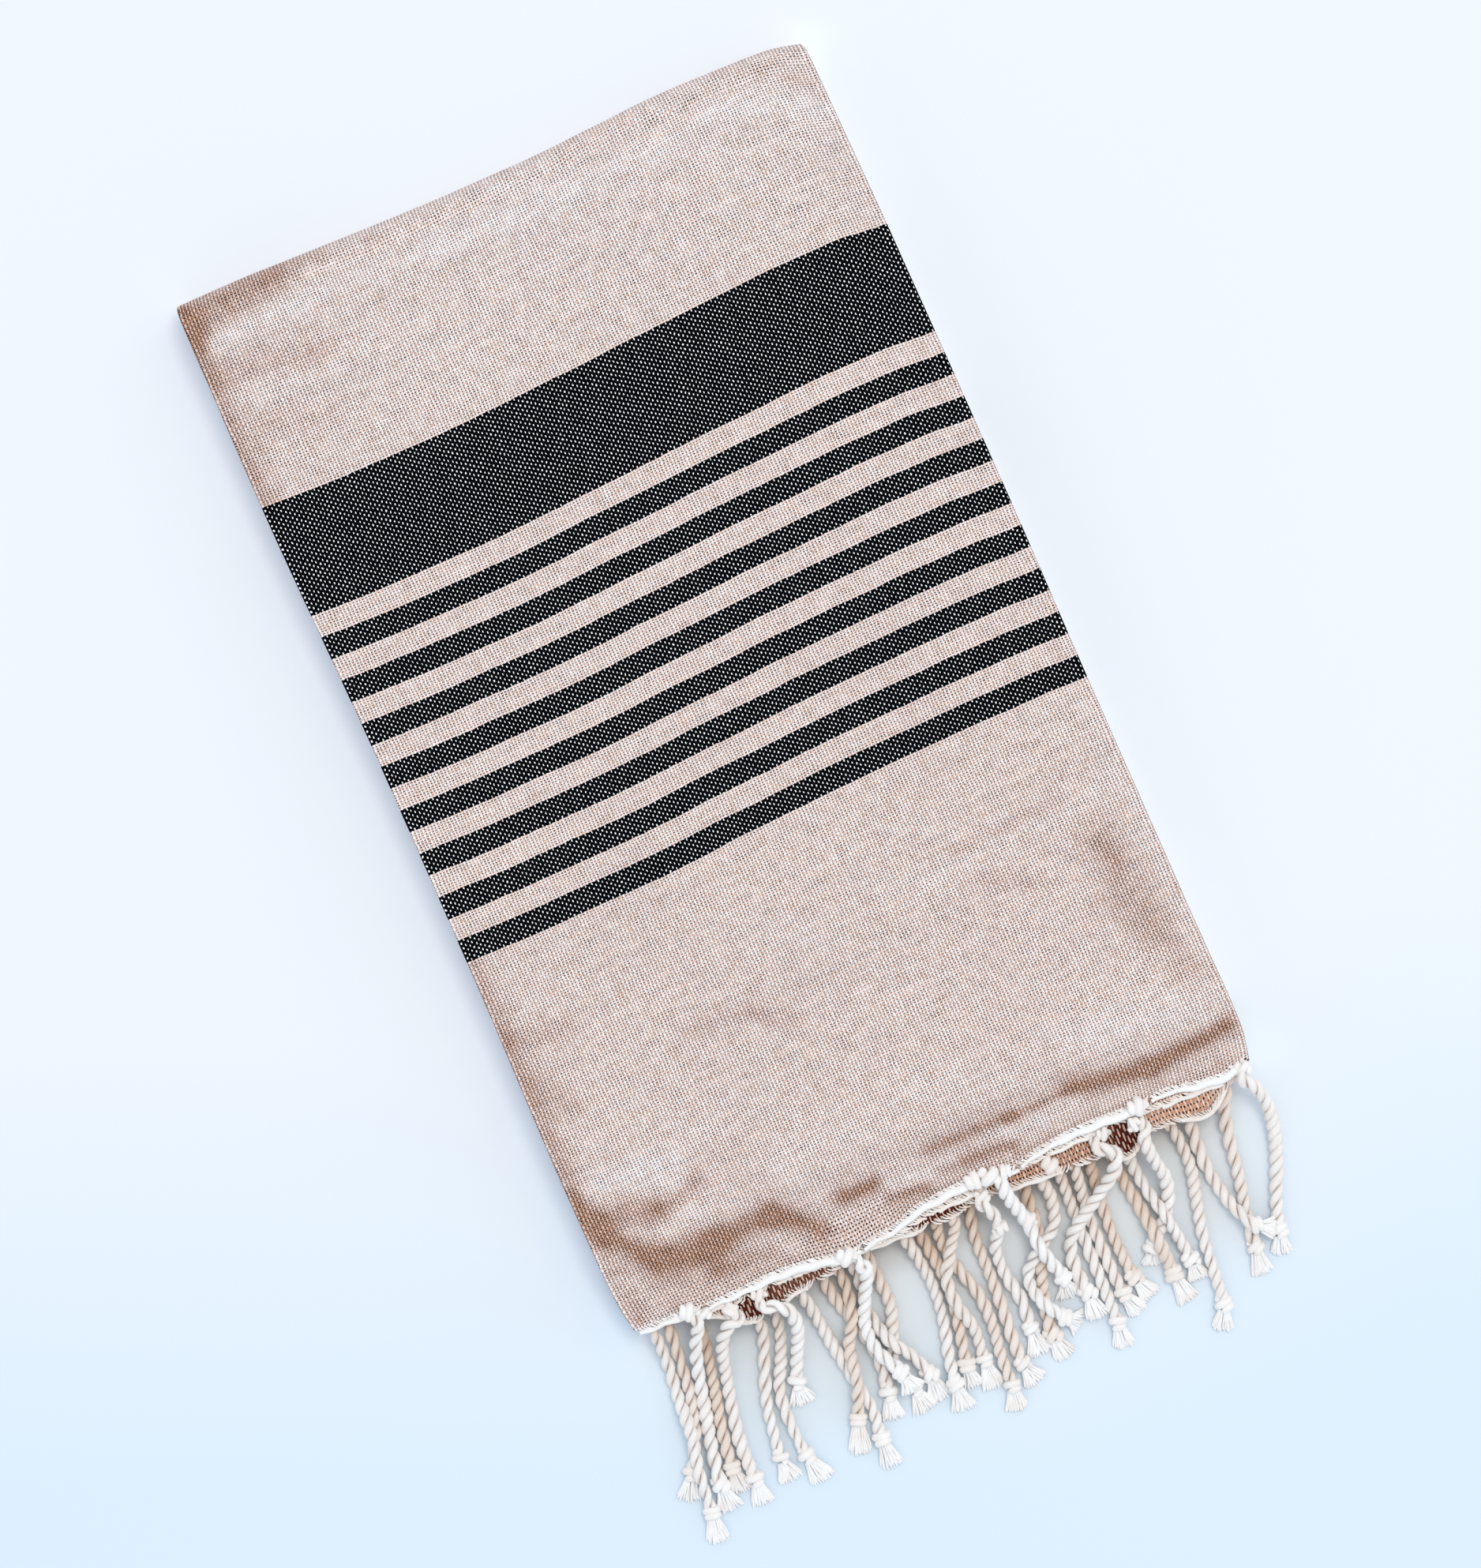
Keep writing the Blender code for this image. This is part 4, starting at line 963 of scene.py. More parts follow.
class Workbench:
    """Small shared jobs: putting things into the scene and making the seeds of node trees."""

    @staticmethod
    def put(name: str, data: Any) -> Object:
        """Put a mesh, a camera or a lamp into the scene, at the origin."""
        made = bpy.data.objects.new(name, data)
        bpy.context.scene.collection.objects.link(made)
        return made

    @staticmethod
    def numbers(mesh: Mesh, **values: np.ndarray) -> None:
        """Give each point of a mesh its named numbers."""
        for key, column in values.items():
            mesh.attributes.new(key, "FLOAT", "POINT").data.foreach_set("value", column)

    @staticmethod
    def place(name: str, mesh: Mesh, material: Material | None = None) -> Object:
        """Put a mesh into the scene, smooth, at the origin.

        Args:
            name: the object's name.
            mesh: its mesh.
            material: its one material, or none where the mesh has its own.

        Returns:
            The object.
        """
        mesh.name = name
        if material is not None:
            mesh.materials.clear()
            mesh.materials.append(material)
        mesh.shade_smooth()
        return Workbench.put(name, mesh)

    @staticmethod
    def lines(name: str, paths: Sequence[np.ndarray], **values: Sequence[np.ndarray]) -> Mesh:
        """Make a mesh of polylines with a number for each of their points.

        Args:
            name: the mesh's name.
            paths: the points of each line, in millimetres.
            values: named numbers, an array for each line.

        Returns:
            The mesh, in metres.
        """
        edges, start = [], 0
        for path in paths:
            edges += [(start + n, start + n + 1) for n in range(len(path) - 1)]
            start += len(path)
        mesh = bpy.data.meshes.new(name)
        mesh.from_pydata(np.concatenate(paths) * MM, edges, [])
        Workbench.numbers(mesh, **{key: np.concatenate(rows) for key, rows in values.items()})
        return mesh

    @staticmethod
    def points(name: str, rows: Sequence[tuple], keys: Sequence[str]) -> Mesh:
        """Make a mesh of loose points with named numbers.

        Args:
            name: the mesh's name.
            rows: for each point x, y and z in millimetres, then its numbers.
            keys: the names of the numbers.

        Returns:
            The mesh, in metres.
        """
        table = np.array(rows)
        mesh = bpy.data.meshes.new(name)
        mesh.from_pydata(table[:, :3] * MM, [], [])
        Workbench.numbers(mesh, **dict(zip(keys, table[:, 3:].T)))
        return mesh


# Each cord from the lowest on the surface to the topmost: its layer, its root and the places that it
# passes, of which the last two are its end knot and its tip.
CORDS = (
    (3, 112, 109, -220, 106.5, -232, 104.5, -245, 101.5, -258, 99.5, -271, 98, -283),
    (0, 119.5, 123, -216.5, 124.5, -225, 123, -236, 118.5, -248, 113.5, -259, 110, -269.5, 107.5, -279),
    (4, 96, 95.2, -224, 94.8, -236, 96.5, -249, 99.5, -258.5, 102.5, -263.5, 109.5, -268),
    (5, 88, 89.3, -222, 89.4, -234, 86, -248, 83, -261, 81.5, -275, 80, -286, 75.5, -295.5),
    (1, 79, 77, -217, 77.5, -225, 79, -234, 76, -243.5, 70, -250.5, 64.5, -256, 61.2, -263.5),
    (7, 64, 64.5, -229, 66, -241, 67, -253, 67.5, -268.5, 69, -281),
    (3, 70, 69.5, -223, 70.7, -234, 73, -246, 74.5, -256, 75.6, -266, 75.6, -275),
    (6, 56, 54.5, -224, 53.2, -236, 52.5, -248, 53.6, -263.5, 57, -273.5),
    (5, 43.5, 43, -226, 42.3, -240, 41.8, -254, 41.4, -266, 41, -276.5, 39.6, -287),
    (3, 49.5, 48.6, -224, 47.2, -236, 46.8, -250, 47.3, -267, 50.6, -277.5),
    (1, 60, 65, -216.5, 61.5, -223.5, 49.5, -232, 38.5, -239.5, 34.8, -249.5, 35.3, -261.5, 35.2, -272.5),
    (7, 30, 28.5, -224, 27, -236, 22.5, -248, 19, -259, 17, -270.5, 18.5, -281.5),
    (4, 36, 37, -223, 34, -233.5, 24.5, -239.5, 17.3, -247, 18, -257, 23.5, -266.5, 29, -272),
    (0, 22, 22.5, -217, 25, -227, 25.5, -237, 27, -245, 29, -252.5, 28.6, -261.5),
    (6, 7.5, 5, -226, 4.6, -240, 3.8, -254, 2.7, -265, 2.4, -276, 4.8, -286),
    (1, 12.5, 14.5, -219, 14.5, -225.5, 10.5, -232, 9.8, -243, 11.5, -254, 10.5, -265.5, 10.2, -276.5),
    (5, -6, -7.2, -222, -5.5, -234, -2.5, -245, -2.1, -257, -4, -271, -4.6, -282, -7, -292),
    (7, -13.5, -12.5, -223, -11.2, -237, -13, -250, -17, -267.5, -17.8, -278),
    (3, 0.5, -0.5, -219, -5.5, -226.5, -11, -235.5, -11.2, -247, -9, -257, -10.2, -269, -11.2, -281),
    (4, -19, -17.8, -223, -16.7, -237, -18.7, -251, -22, -263, -23.5, -272.5, -24.5, -284),
    (6, -34.5, -34.5, -222, -34, -236, -38, -247, -41, -256, -38.6, -268, -37.6, -279),
    (7, -53, -52.7, -222, -50, -234, -46.8, -246, -46.5, -256, -48, -265.5, -50.2, -277),
    (4, -41, -41, -222, -42.5, -235, -40, -247, -34.5, -256.5, -31, -266, -31, -277),
    (3, -63, -61.5, -226, -60, -240, -58, -255, -56, -268, -57.2, -280, -57.5, -293),
    (5, -47, -46.4, -222, -48.5, -233, -54.5, -244.5, -57, -257, -62.5, -270.5, -67, -283),
    (0, -38, -36.5, -219, -41, -228, -45.5, -238, -45.5, -249, -40.5, -260, -38.5, -269.5),
    (5, -75, -75.2, -226, -79.2, -237, -84.8, -248.5, -86.2, -260, -85.5, -274.5, -83, -286.5),
    (4, -82, -81.6, -225, -86.4, -238, -91.2, -251, -93.3, -262, -94.5, -271, -94.5, -282.5),
    (1, -77.5, -73, -217.5, -69, -222, -69, -229, -72.5, -237, -77.5, -248, -79, -257.5),
    (7, -102.5, -103.4, -222, -106.8, -238, -110.5, -253, -112.8, -267.5, -113.2, -278.5),
    (1, -87.5, -92, -217.5, -97, -223, -100.4, -234, -103.9, -248, -106.3, -261, -106.6, -274.5, -107.5,
     -286),
    (0, -102, -105.5, -218, -109.6, -229, -113.3, -244, -116.8, -258, -119.2, -271.5, -119.4, -283),
    (4, -113, -114.2, -222, -115.8, -235, -119.5, -248.5, -123.5, -257, -127.5, -263.5, -133, -273),
    (3, -118.5, -119, -222, -120.6, -236, -121.5, -250, -124.8, -265, -126.5, -280, -129, -292.5),
)


class Cord(NamedTuple):
    """One cord of the fringe, as in the part: layer, root and places from its first bend to its tip."""

    layer: int
    root: float
    places: list

    @property
    def knot(self) -> tuple:
        """Place of the end knot."""
        return self.places[-2]


class End(Enum):
    """The two fringed ends of the towel, with their nodes and their layers from the top of the pile."""

    UPPER = ("upper", "upper_fringe", range(0, 4))
    LOWER = ("lower", "lower_fringe", range(4, 8))

    def __init__(self, word: str, node: str, layers: range) -> None:
        """Keep the first word of the pieces' names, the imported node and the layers."""
        self.word, self.node, self.layers = word, node, layers


@dataclass
class LaidCord:
    """A cord on its way over the surface and over the cords below it, in millimetres."""

    row: Cord
    route: np.ndarray
    at: np.ndarray
    width: np.ndarray
    height: np.ndarray
    bottom: np.ndarray
    knot: int

    @property
    def centre(self) -> np.ndarray:
        """Height of the middle of the cord at each sample."""
        return self.bottom + self.height / 2


@dataclass
class Layout:
    """Settles all the cords, each over those laid before it."""

    pile: Pile
    cord: float = 4.7
    step: float = 0.8
    curve_steps: int = 24
    straight: float = 4.5
    knot_width: float = 7.4
    knot_height: float = 5.4
    knot_half: float = 2.8
    knot_slopes: tuple = (1.2, 1.0)
    neck: float = 3.8
    tip_width: float = 7.0
    tip_height: float = 2.4
    # Sections at a hem: places along the cord, widths and heights, with a knot there or without.
    hem_knot: tuple = ((0, 1.4, 5.4, 8), (4, 7.6, 7.6, 4.7), (2, 5, 5, 4.7))
    hem_root: tuple = ((0, 3), (3, 4.7), (1.6, 4.7))
    root_depths: tuple = (2.0, 3.4)
    feelers: tuple = (-0.35, 0.0, 0.35)
    squeeze: float = 0.9
    gap: float = 0.1
    edge_clear: float = 1.0
    steepest: float = 0.62
    drop_share: float = 1.5
    drop_length: float = 12.0
    passes: int = 26
    last_passes: int = 3
    knotted_layers: int = 2

    def smooth_route(self, points: Sequence) -> np.ndarray:
        """Evenly spaced samples of a smooth curve through the given places."""
        rows = np.array([2 * np.array(points[0]) - points[1]] + list(points)
                        + [2 * np.array(points[-1]) - points[-2]], float)
        curve = []
        for a, b, c, d in zip(rows, rows[1:], rows[2:], rows[3:]):
            for t in np.linspace(0, 1, self.curve_steps, endpoint=False):
                curve.append(0.5 * (2 * b + (c - a) * t + (2 * a - 5 * b + 4 * c - d) * t * t
                                    + (3 * b - a - 3 * c + d) * t ** 3))
        curve = np.array(curve + [rows[-2]])
        length = np.concatenate([[0], np.cumsum(np.linalg.norm(np.diff(curve, axis=0), axis=1))])
        at = np.arange(0, length[-1], self.step)
        return np.stack([np.interp(at, length, curve[:, 0]), np.interp(at, length, curve[:, 1])], 1)

    def sections(self, at: np.ndarray, knot: float, knotted: bool) -> tuple[np.ndarray, np.ndarray]:
        """Width and height of a cord at each sample."""
        places, widths, heights = self.hem_knot if knotted else self.hem_root
        start, end = knot - self.knot_half, knot + self.knot_half
        places += (start - self.knot_slopes[0], start, end, end + self.knot_slopes[1], at[-1])
        widths += (self.cord, self.knot_width, self.knot_width, self.neck, self.tip_width)
        heights += (self.cord, self.knot_height, self.knot_height, self.neck, self.tip_height)
        return np.interp(at, places, widths), np.interp(at, places, heights)

    def underlay(self, route: np.ndarray, width: np.ndarray, index: int) -> np.ndarray:
        """Height that the layers under this one ask for where they reach further out."""
        need = np.zeros(len(route))
        ahead = np.gradient(route, axis=0)
        ahead /= np.linalg.norm(ahead, axis=1)[:, None]
        for side in self.feelers:
            x = route[:, 0] + side * width * ahead[:, 1]
            y = route[:, 1] - side * width * ahead[:, 0]
            for lower in range(self.pile.layers - self.pile.hem_layers, index):
                over = y > self.pile.hem_line(x, lower) - self.edge_clear
                need = np.where(over, np.maximum(need, self.pile.layer_top(x, y, lower) + self.gap), need)
        return need

    def overlay(self, route: np.ndarray, width: np.ndarray, height: np.ndarray,
                laid: Sequence[LaidCord]) -> np.ndarray:
        """Height that the round cords laid before ask for."""
        need = np.zeros(len(route))
        for other in laid:
            apart = np.linalg.norm(route[:, None] - other.route[None], axis=2)
            reach = self.squeeze * (width[:, None] + other.width[None]) / 2
            rise = np.sqrt(np.clip(1 - (apart / reach) ** 2, 0, None))
            rise *= self.squeeze * (height[:, None] + other.height[None]) / 2
            centre = np.where(apart < reach, other.centre[None] + rise, 0).max(axis=1)
            need = np.maximum(need, centre - height / 2)
        return need

    def settle(self, at: np.ndarray, root: float, need: np.ndarray) -> np.ndarray:
        """Height of the underside of a cord at each sample, over all that was laid before."""
        reach = self.drop_share * root + self.drop_length
        high = np.maximum(root * np.clip(1 - at / reach, 0, 1) ** 2, need)
        low = (high[None] - self.steepest * np.abs(at[:, None] - at[None])).max(axis=1)
        low[0] = root
        for _ in range(self.passes):
            low[1:-1] = np.maximum(need[1:-1], (low[:-2] + low[2:]) / 2)
        for _ in range(self.last_passes):
            low[1:-1] = (low[:-2] + 2 * low[1:-1] + low[2:]) / 4
        return np.maximum(low, 0.0)

    def lay_all(self) -> list[LaidCord]:
        """Lay every cord in the order of its row."""
        laid: list[LaidCord] = []
        for layer, root, *numbers in CORDS:
            row = Cord(layer, root, list(zip(numbers[::2], numbers[1::2])))
            index = self.pile.index_of(layer)
            start = (root, float(self.pile.hem_line(root, index)))
            route = self.smooth_route([start, (root, start[1] - self.straight), *row.places])
            at = np.arange(len(route)) * self.step
            knot = int(np.argmin(np.linalg.norm(route - np.array(row.knot), axis=1)))
            knotted = layer < self.knotted_layers
            width, height = self.sections(at, at[knot], knotted)
            need = np.maximum(self.underlay(route, width, index), self.overlay(route, width, height, laid))
            top = float(self.pile.layer_top(*start, index)) - self.root_depths[0 if knotted else 1]
            laid.append(LaidCord(row, route, at, width, height, self.settle(at, top, need), knot))
        return laid


class Sprout:
    """A geometry node tree with named inputs, which turns seed lines or points into a piece."""

    def __init__(self, name: str, sizes: dict[str, float], seed: int = 1) -> None:
        """Start a tree.

        Args:
            name: the tree's name.
            sizes: its named inputs, whole numbers as int and lengths as float, in metres.
            seed: the seed of anything random.
        """
        self.group = bpy.data.node_groups.new(name, "GeometryNodeTree")
        self.values: dict[str, Any] = {**sizes, "Seed": seed}
        self.keys: dict[str, str] = {}
        self.socket("Geometry", "Geometry")
        for key, value in self.values.items():
            self.socket(key, "Int" if isinstance(value, int) else "Float")
        self.socket("Material", "Material")
        self.socket("Geometry", "Geometry", "OUTPUT")
        self.graph = Graph(self.group)
        self.inputs = self.graph.add("NodeGroupInput").outputs
        self.geometry: NodeSocket = self.inputs["Geometry"]

    def socket(self, key: str, kind: str, way: str = "INPUT") -> None:
        """Give the tree one more named input or output, and keep its identifier."""
        made = self.group.interface.new_socket(key, in_out=way, socket_type="NodeSocket" + kind)
        self.keys[key] = made.identifier

    def size(self, key: str) -> Wire:
        """A named input as a number."""
        return Wire(self.graph, self.inputs[key])

    def run(self, kind: str, feeds: dict[Any, Any] | None = None, **settings: Any) -> Node:
        """Send the geometry through one more node and keep its first output."""
        node = self.graph.add(kind, {0: self.geometry, **(feeds or {})}, **settings)
        self.geometry = node.outputs[0]
        return node

    def store(self, name: str, value: Any, kind: str = "FLOAT", domain: str = "POINT") -> None:
        """Store a named value on the geometry."""
        feeds = {"Name": name, "Value": value}
        self.run("GeometryNodeStoreNamedAttribute", feeds, data_type=kind, domain=domain)

    def number(self, name: str) -> Wire:
        """Read a named value as a number."""
        return self.graph.number("GeometryNodeInputNamedAttribute", 0, {"Name": name}, data_type="FLOAT")

    def vector(self, name: str) -> NodeSocket:
        """Read a named vector."""
        feeds = {"Name": name}
        return self.graph.add("GeometryNodeInputNamedAttribute", feeds, data_type="FLOAT_VECTOR").outputs[0]

    def given(self, kind: str) -> NodeSocket:
        """What the geometry itself has at each point: its Position, Tangent, Normal or Index."""
        return self.graph.add("GeometryNodeInput" + kind).outputs[0]

    def spline(self, output: str) -> Wire:
        """How far along its line a point is, as a Length or as a Factor from 0 to 1."""
        return self.graph.number("GeometryNodeSplineParameter", output)

    def chance(self, low: float, high: float, salt: int) -> Wire:
        """A random number for each element, from the tree's seed and a fixed salt."""
        feeds = {2: low, 3: high, 7: self.given("Index"), 8: self.size("Seed") * 31 + salt}
        return self.graph.number("FunctionNodeRandomValue", 1, feeds, data_type="FLOAT")

    def curves(self) -> None:
        """Turn seed lines into curves with upright normals."""
        self.run("GeometryNodeMeshToCurve")
        self.run("GeometryNodeSetCurveNormal", mode="Z_UP")

    def even(self) -> None:
        """Put points at even steps along the curves."""
        self.run("GeometryNodeResampleCurve", {"Length": self.inputs["Step"]}, mode="LENGTH")

    def blank(self, count: str) -> NodeSocket:
        """A short line with as many points as a named input says, to be shaped later."""
        ends = {0: (0.0, 0.0, 0.0), 1: (0.01, 0.0, 0.0)}
        line = self.graph.add("GeometryNodeCurvePrimitiveLine", ends).outputs[0]
        return self.graph.add("GeometryNodeResampleCurve", {0: line, "Count": self.inputs[count]}).outputs[0]

    def sweep(self, wide: str, deep: str, scale: Wire, capped: bool = True) -> None:
        """Sweep a closed oval, which remembers where on its ring each point is, along the curves.

        Args:
            wide, deep: the named inputs that give its half sizes.
            scale: its scale along the way.
            capped: whether the ends are closed.
        """
        kept, graph = self.geometry, self.graph
        circle = {"Resolution": self.inputs["Sides"], "Radius": 1.0}
        self.geometry = graph.add("GeometryNodeCurvePrimitiveCircle", circle).outputs[0]
        self.store("ring", self.given("Position"), "FLOAT_VECTOR")
        self.run("GeometryNodeTransform", {"Scale": graph.xyz(self.inputs[wide], self.inputs[deep], 1.0)})
        section, self.geometry = self.geometry, kept
        self.run("GeometryNodeCurveToMesh", {"Profile Curve": section, "Scale": scale, "Fill Caps": capped})

    def finish(self) -> None:
        """End the tree: shade smooth, realize, give the material."""
        self.run("GeometryNodeSetShadeSmooth")
        self.run("GeometryNodeRealizeInstances")
        self.run("GeometryNodeSetMaterial", {"Material": self.inputs["Material"]})
        self.graph.add("NodeGroupOutput", {0: self.geometry})

    def grow(self, name: str, seeds: Mesh, material: Material,
             **changes: Any) -> Object:
        """Run the tree on seeds and keep the result as a plain mesh.

        Args:
            name: the new object's name.
            seeds: the mesh of seed lines or points.
            material: the finish.
            changes: named inputs that differ from the tree's own.

        Returns:
            The new object, which has no modifier.
        """
        carrier = Workbench.put(name + "_seeds", seeds)
        modifier = carrier.modifiers.new("grow", "NODES")
        modifier.node_group = self.group
        for key, value in {**self.values, "Material": material, **changes}.items():
            modifier[self.keys[key]] = value
        graph = bpy.context.evaluated_depsgraph_get()
        mesh = bpy.data.meshes.new_from_object(carrier.evaluated_get(graph), preserve_all_data_layers=True,
                                               depsgraph=graph)
        carrier.modifiers.remove(modifier)
        bpy.data.objects.remove(carrier)
        return Workbench.place(name, mesh)


class PlyTwist(Sprout):
    """Twists two plies round each seed line, as a two-ply cord with a Z twist."""

    inner_start, inner_rate = -0.05, -2.0

    def __init__(self) -> None:
        """Build the tree."""
        super().__init__("ply_twist", {
            "Plies": 2, "Turn": 10.8 * MM, "Offset": 1.22 * MM, "Half width": 1.48 * MM,
            "Half depth": 1.32 * MM, "Step": 0.8 * MM, "Sides": 10})
        graph = self.graph
        self.curves()
        copies = self.run("GeometryNodeDuplicateElements", {"Amount": self.inputs["Plies"]}, domain="SPLINE")
        self.store("ply", copies.outputs[1], domain="CURVE")
        self.even()
        self.store("run", self.spline("Length"))
        turns = self.number("run") / self.size("Turn") + self.number("ply") / self.size("Plies")
        angle = (turns + self.number("phase")) * (2 * pi)
        normal = self.given("Normal")
        binormal = graph.vector("CROSS_PRODUCT", self.given("Tangent"), normal)
        radial = graph.vector("ADD", graph.vector("SCALE", normal, angle.cosine()),
                              graph.vector("SCALE", binormal, angle.sine()))
        self.store("radial", radial, "FLOAT_VECTOR")
        girth = self.number("girth")
        offset = graph.vector("SCALE", self.vector("radial"), self.size("Offset") * girth)
        self.run("GeometryNodeSetPosition", {"Offset": offset})
        self.run("GeometryNodeSetCurveNormal", {"Normal": self.vector("radial")}, mode="FREE")
        self.sweep("Half depth", "Half width", girth)
        ring_x = graph.parts(self.vector("ring"))[0]
        # Where each ply faces the other, for painted shade in the crease.
        self.store("inner", ring_x.ramp(self.inner_start, self.inner_rate))
        self.finish()


class YarnBundle(Sprout):
    """Turns each seed line into one loose yarn."""

    def __init__(self) -> None:
        """Build the tree."""
        super().__init__("yarn_bundle", {
            "Radius": 0.30 * MM, "Step": 1.6 * MM, "Sides": 5, "Frizz": 0.22 * MM})
        self.curves()
        self.even()
        self.store("run", self.spline("Length"))
        frizz = [self.chance(-1.0, 1.0, salt) * self.size("Frizz") for salt in (1, 2, 3)]
        self.run("GeometryNodeSetPosition", {"Offset": self.graph.xyz(*frizz)})
        self.sweep("Radius", "Radius", self.number("girth"), capped=False)
        self.finish()


class Brush(Sprout):
    """Spreads loose yarns from each seed point into a flat fan."""

    # Lowest and highest of each random value of a yarn, in the order of their salts from 2 on.
    chances = {"above": (-1.0, 1.0), "long": (0.84, 1.06), "wave": (-1.0, 1.0), "swing": (0.0, 2 * pi)}
    fan_power = 1.15
    wobbles = 5.0
    rounding = 1.0 * MM
    half_depth = 1.6 * MM
    flatter = 0.42

    def __init__(self) -> None:
        """Build the tree."""
        super().__init__("brush", {
            "Yarns": 44, "Radius": 0.42 * MM, "Length": 9.5 * MM, "Neck": 2.0 * MM, "Spread": 4.9 * MM,
            "Sides": 5, "Points": 6, "Curl": 0.35 * MM})
        graph = self.graph
        self.run("GeometryNodeMeshToPoints")
        copies = self.run("GeometryNodeDuplicateElements", {"Amount": self.inputs["Yarns"]}, domain="POINT")
        order = Wire(graph, copies.outputs[1]) / self.size("Yarns") * 2.0 - 0.97
        self.store("aside", order + self.chance(-0.06, 0.06, 1))
        for salt, (key, limits) in enumerate(self.chances.items(), 2):
            self.store(key, self.chance(*limits, salt))
        self.store("home", self.given("Position"), "FLOAT_VECTOR")
        self.run("GeometryNodeInstanceOnPoints", {"Instance": self.blank("Points")})
        self.run("GeometryNodeRealizeInstances")
        self.run("GeometryNodeSetPosition", {"Position": self.fanned()})
        t = self.spline("Factor")
        self.store("run", t * self.size("Length"))
        self.store("thin", t.between(0.9, 1.05) - (t > 0.99) * 0.45)
        self.sweep("Radius", "Radius", self.number("thin"))
        self.finish()

    def fanned(self) -> NodeSocket:
        """Place of each point of a yarn, which bends aside and sinks to the tip's height."""
        graph, t, aside = self.graph, self.spline("Factor"), self.number("aside")
        above = self.number("above") * (1.0 - aside * aside).root()
        wobble = (t * self.wobbles + self.number("swing")).sine() * t * self.size("Curl")
        widest = self.size("Spread") * self.number("fan") - self.size("Neck")
        opened = t.power(self.fan_power) * widest
        side = aside * (self.size("Neck") + opened) + wobble * self.number("wave")
        ahead = t * self.size("Length") * self.number("long") * self.number("reach")
        ahead = ahead - aside * aside * t * self.rounding
        up = above * self.half_depth * t.between(1.0, self.flatter) + wobble * 0.5
        home_x, home_y, home_z = graph.parts(self.vector("home"))
        heading = self.number("heading")
        c, s = heading.cosine(), heading.sine()
        z = (home_z + (self.number("tip") - home_z) * t + up).at_least(self.size("Radius"))
        return graph.xyz(home_x + c * ahead - s * side, home_y + s * ahead + c * side, z)


class KnotCoil(Sprout):
    """Ties a flat knot of a turn and a half or more at each seed point."""

    end_power = 5.0
    end_slack = 0.25

    def __init__(self) -> None:
        """Build the tree."""
        super().__init__("knot_coil", {
            "Turns": 1.9, "Radius": 2.2 * MM, "Strand": 1.5 * MM, "Pitch": 2.25 * MM, "Steps": 40,
            "Sides": 10, "Flatness": 0.78, "Tuck": 0.5})
        graph = self.graph
        self.store("seat", graph.parts(self.given("Position"))[2])
        seeds, self.geometry = self.geometry, self.blank("Steps")
        self.store("share", self.spline("Factor"))
        t, turns = self.number("share"), self.size("Turns")
        end = (t * 2.0 - 1.0).size().power(self.end_power)
        radius = self.size("Radius") * (1.0 - end * self.size("Tuck"))
        angle = t * turns * (2 * pi)
        along = (t - 0.5) * turns * self.size("Pitch") * (1.0 + end * self.end_slack)
        place = graph.xyz(along, angle.cosine() * radius, angle.sine() * radius)
        self.run("GeometryNodeSetPosition", {"Position": place})
        self.store("run", t * turns * self.size("Radius") * (2 * pi))
        self.sweep("Strand", "Strand", 1.0 - end * self.end_slack)
        coil, self.geometry = self.geometry, seeds
        turn = graph.xyz(self.number("roll"), 0.0, self.number("heading"))
        turn = graph.add("FunctionNodeEulerToRotation", {0: turn}).outputs[0]
        size = self.number("size")
        scale = graph.xyz(size * self.number("stretch"), size, size)
        self.run("GeometryNodeInstanceOnPoints", {"Instance": coil, "Rotation": turn, "Scale": scale})
        self.run("GeometryNodeRealizeInstances")
        height = graph.parts(self.given("Position"))[2]
        lower = (self.number("seat") - height) * (1.0 - self.size("Flatness"))
        self.run("GeometryNodeSetPosition", {"Offset": graph.xyz(0.0, 0.0, lower)})
        self.finish()


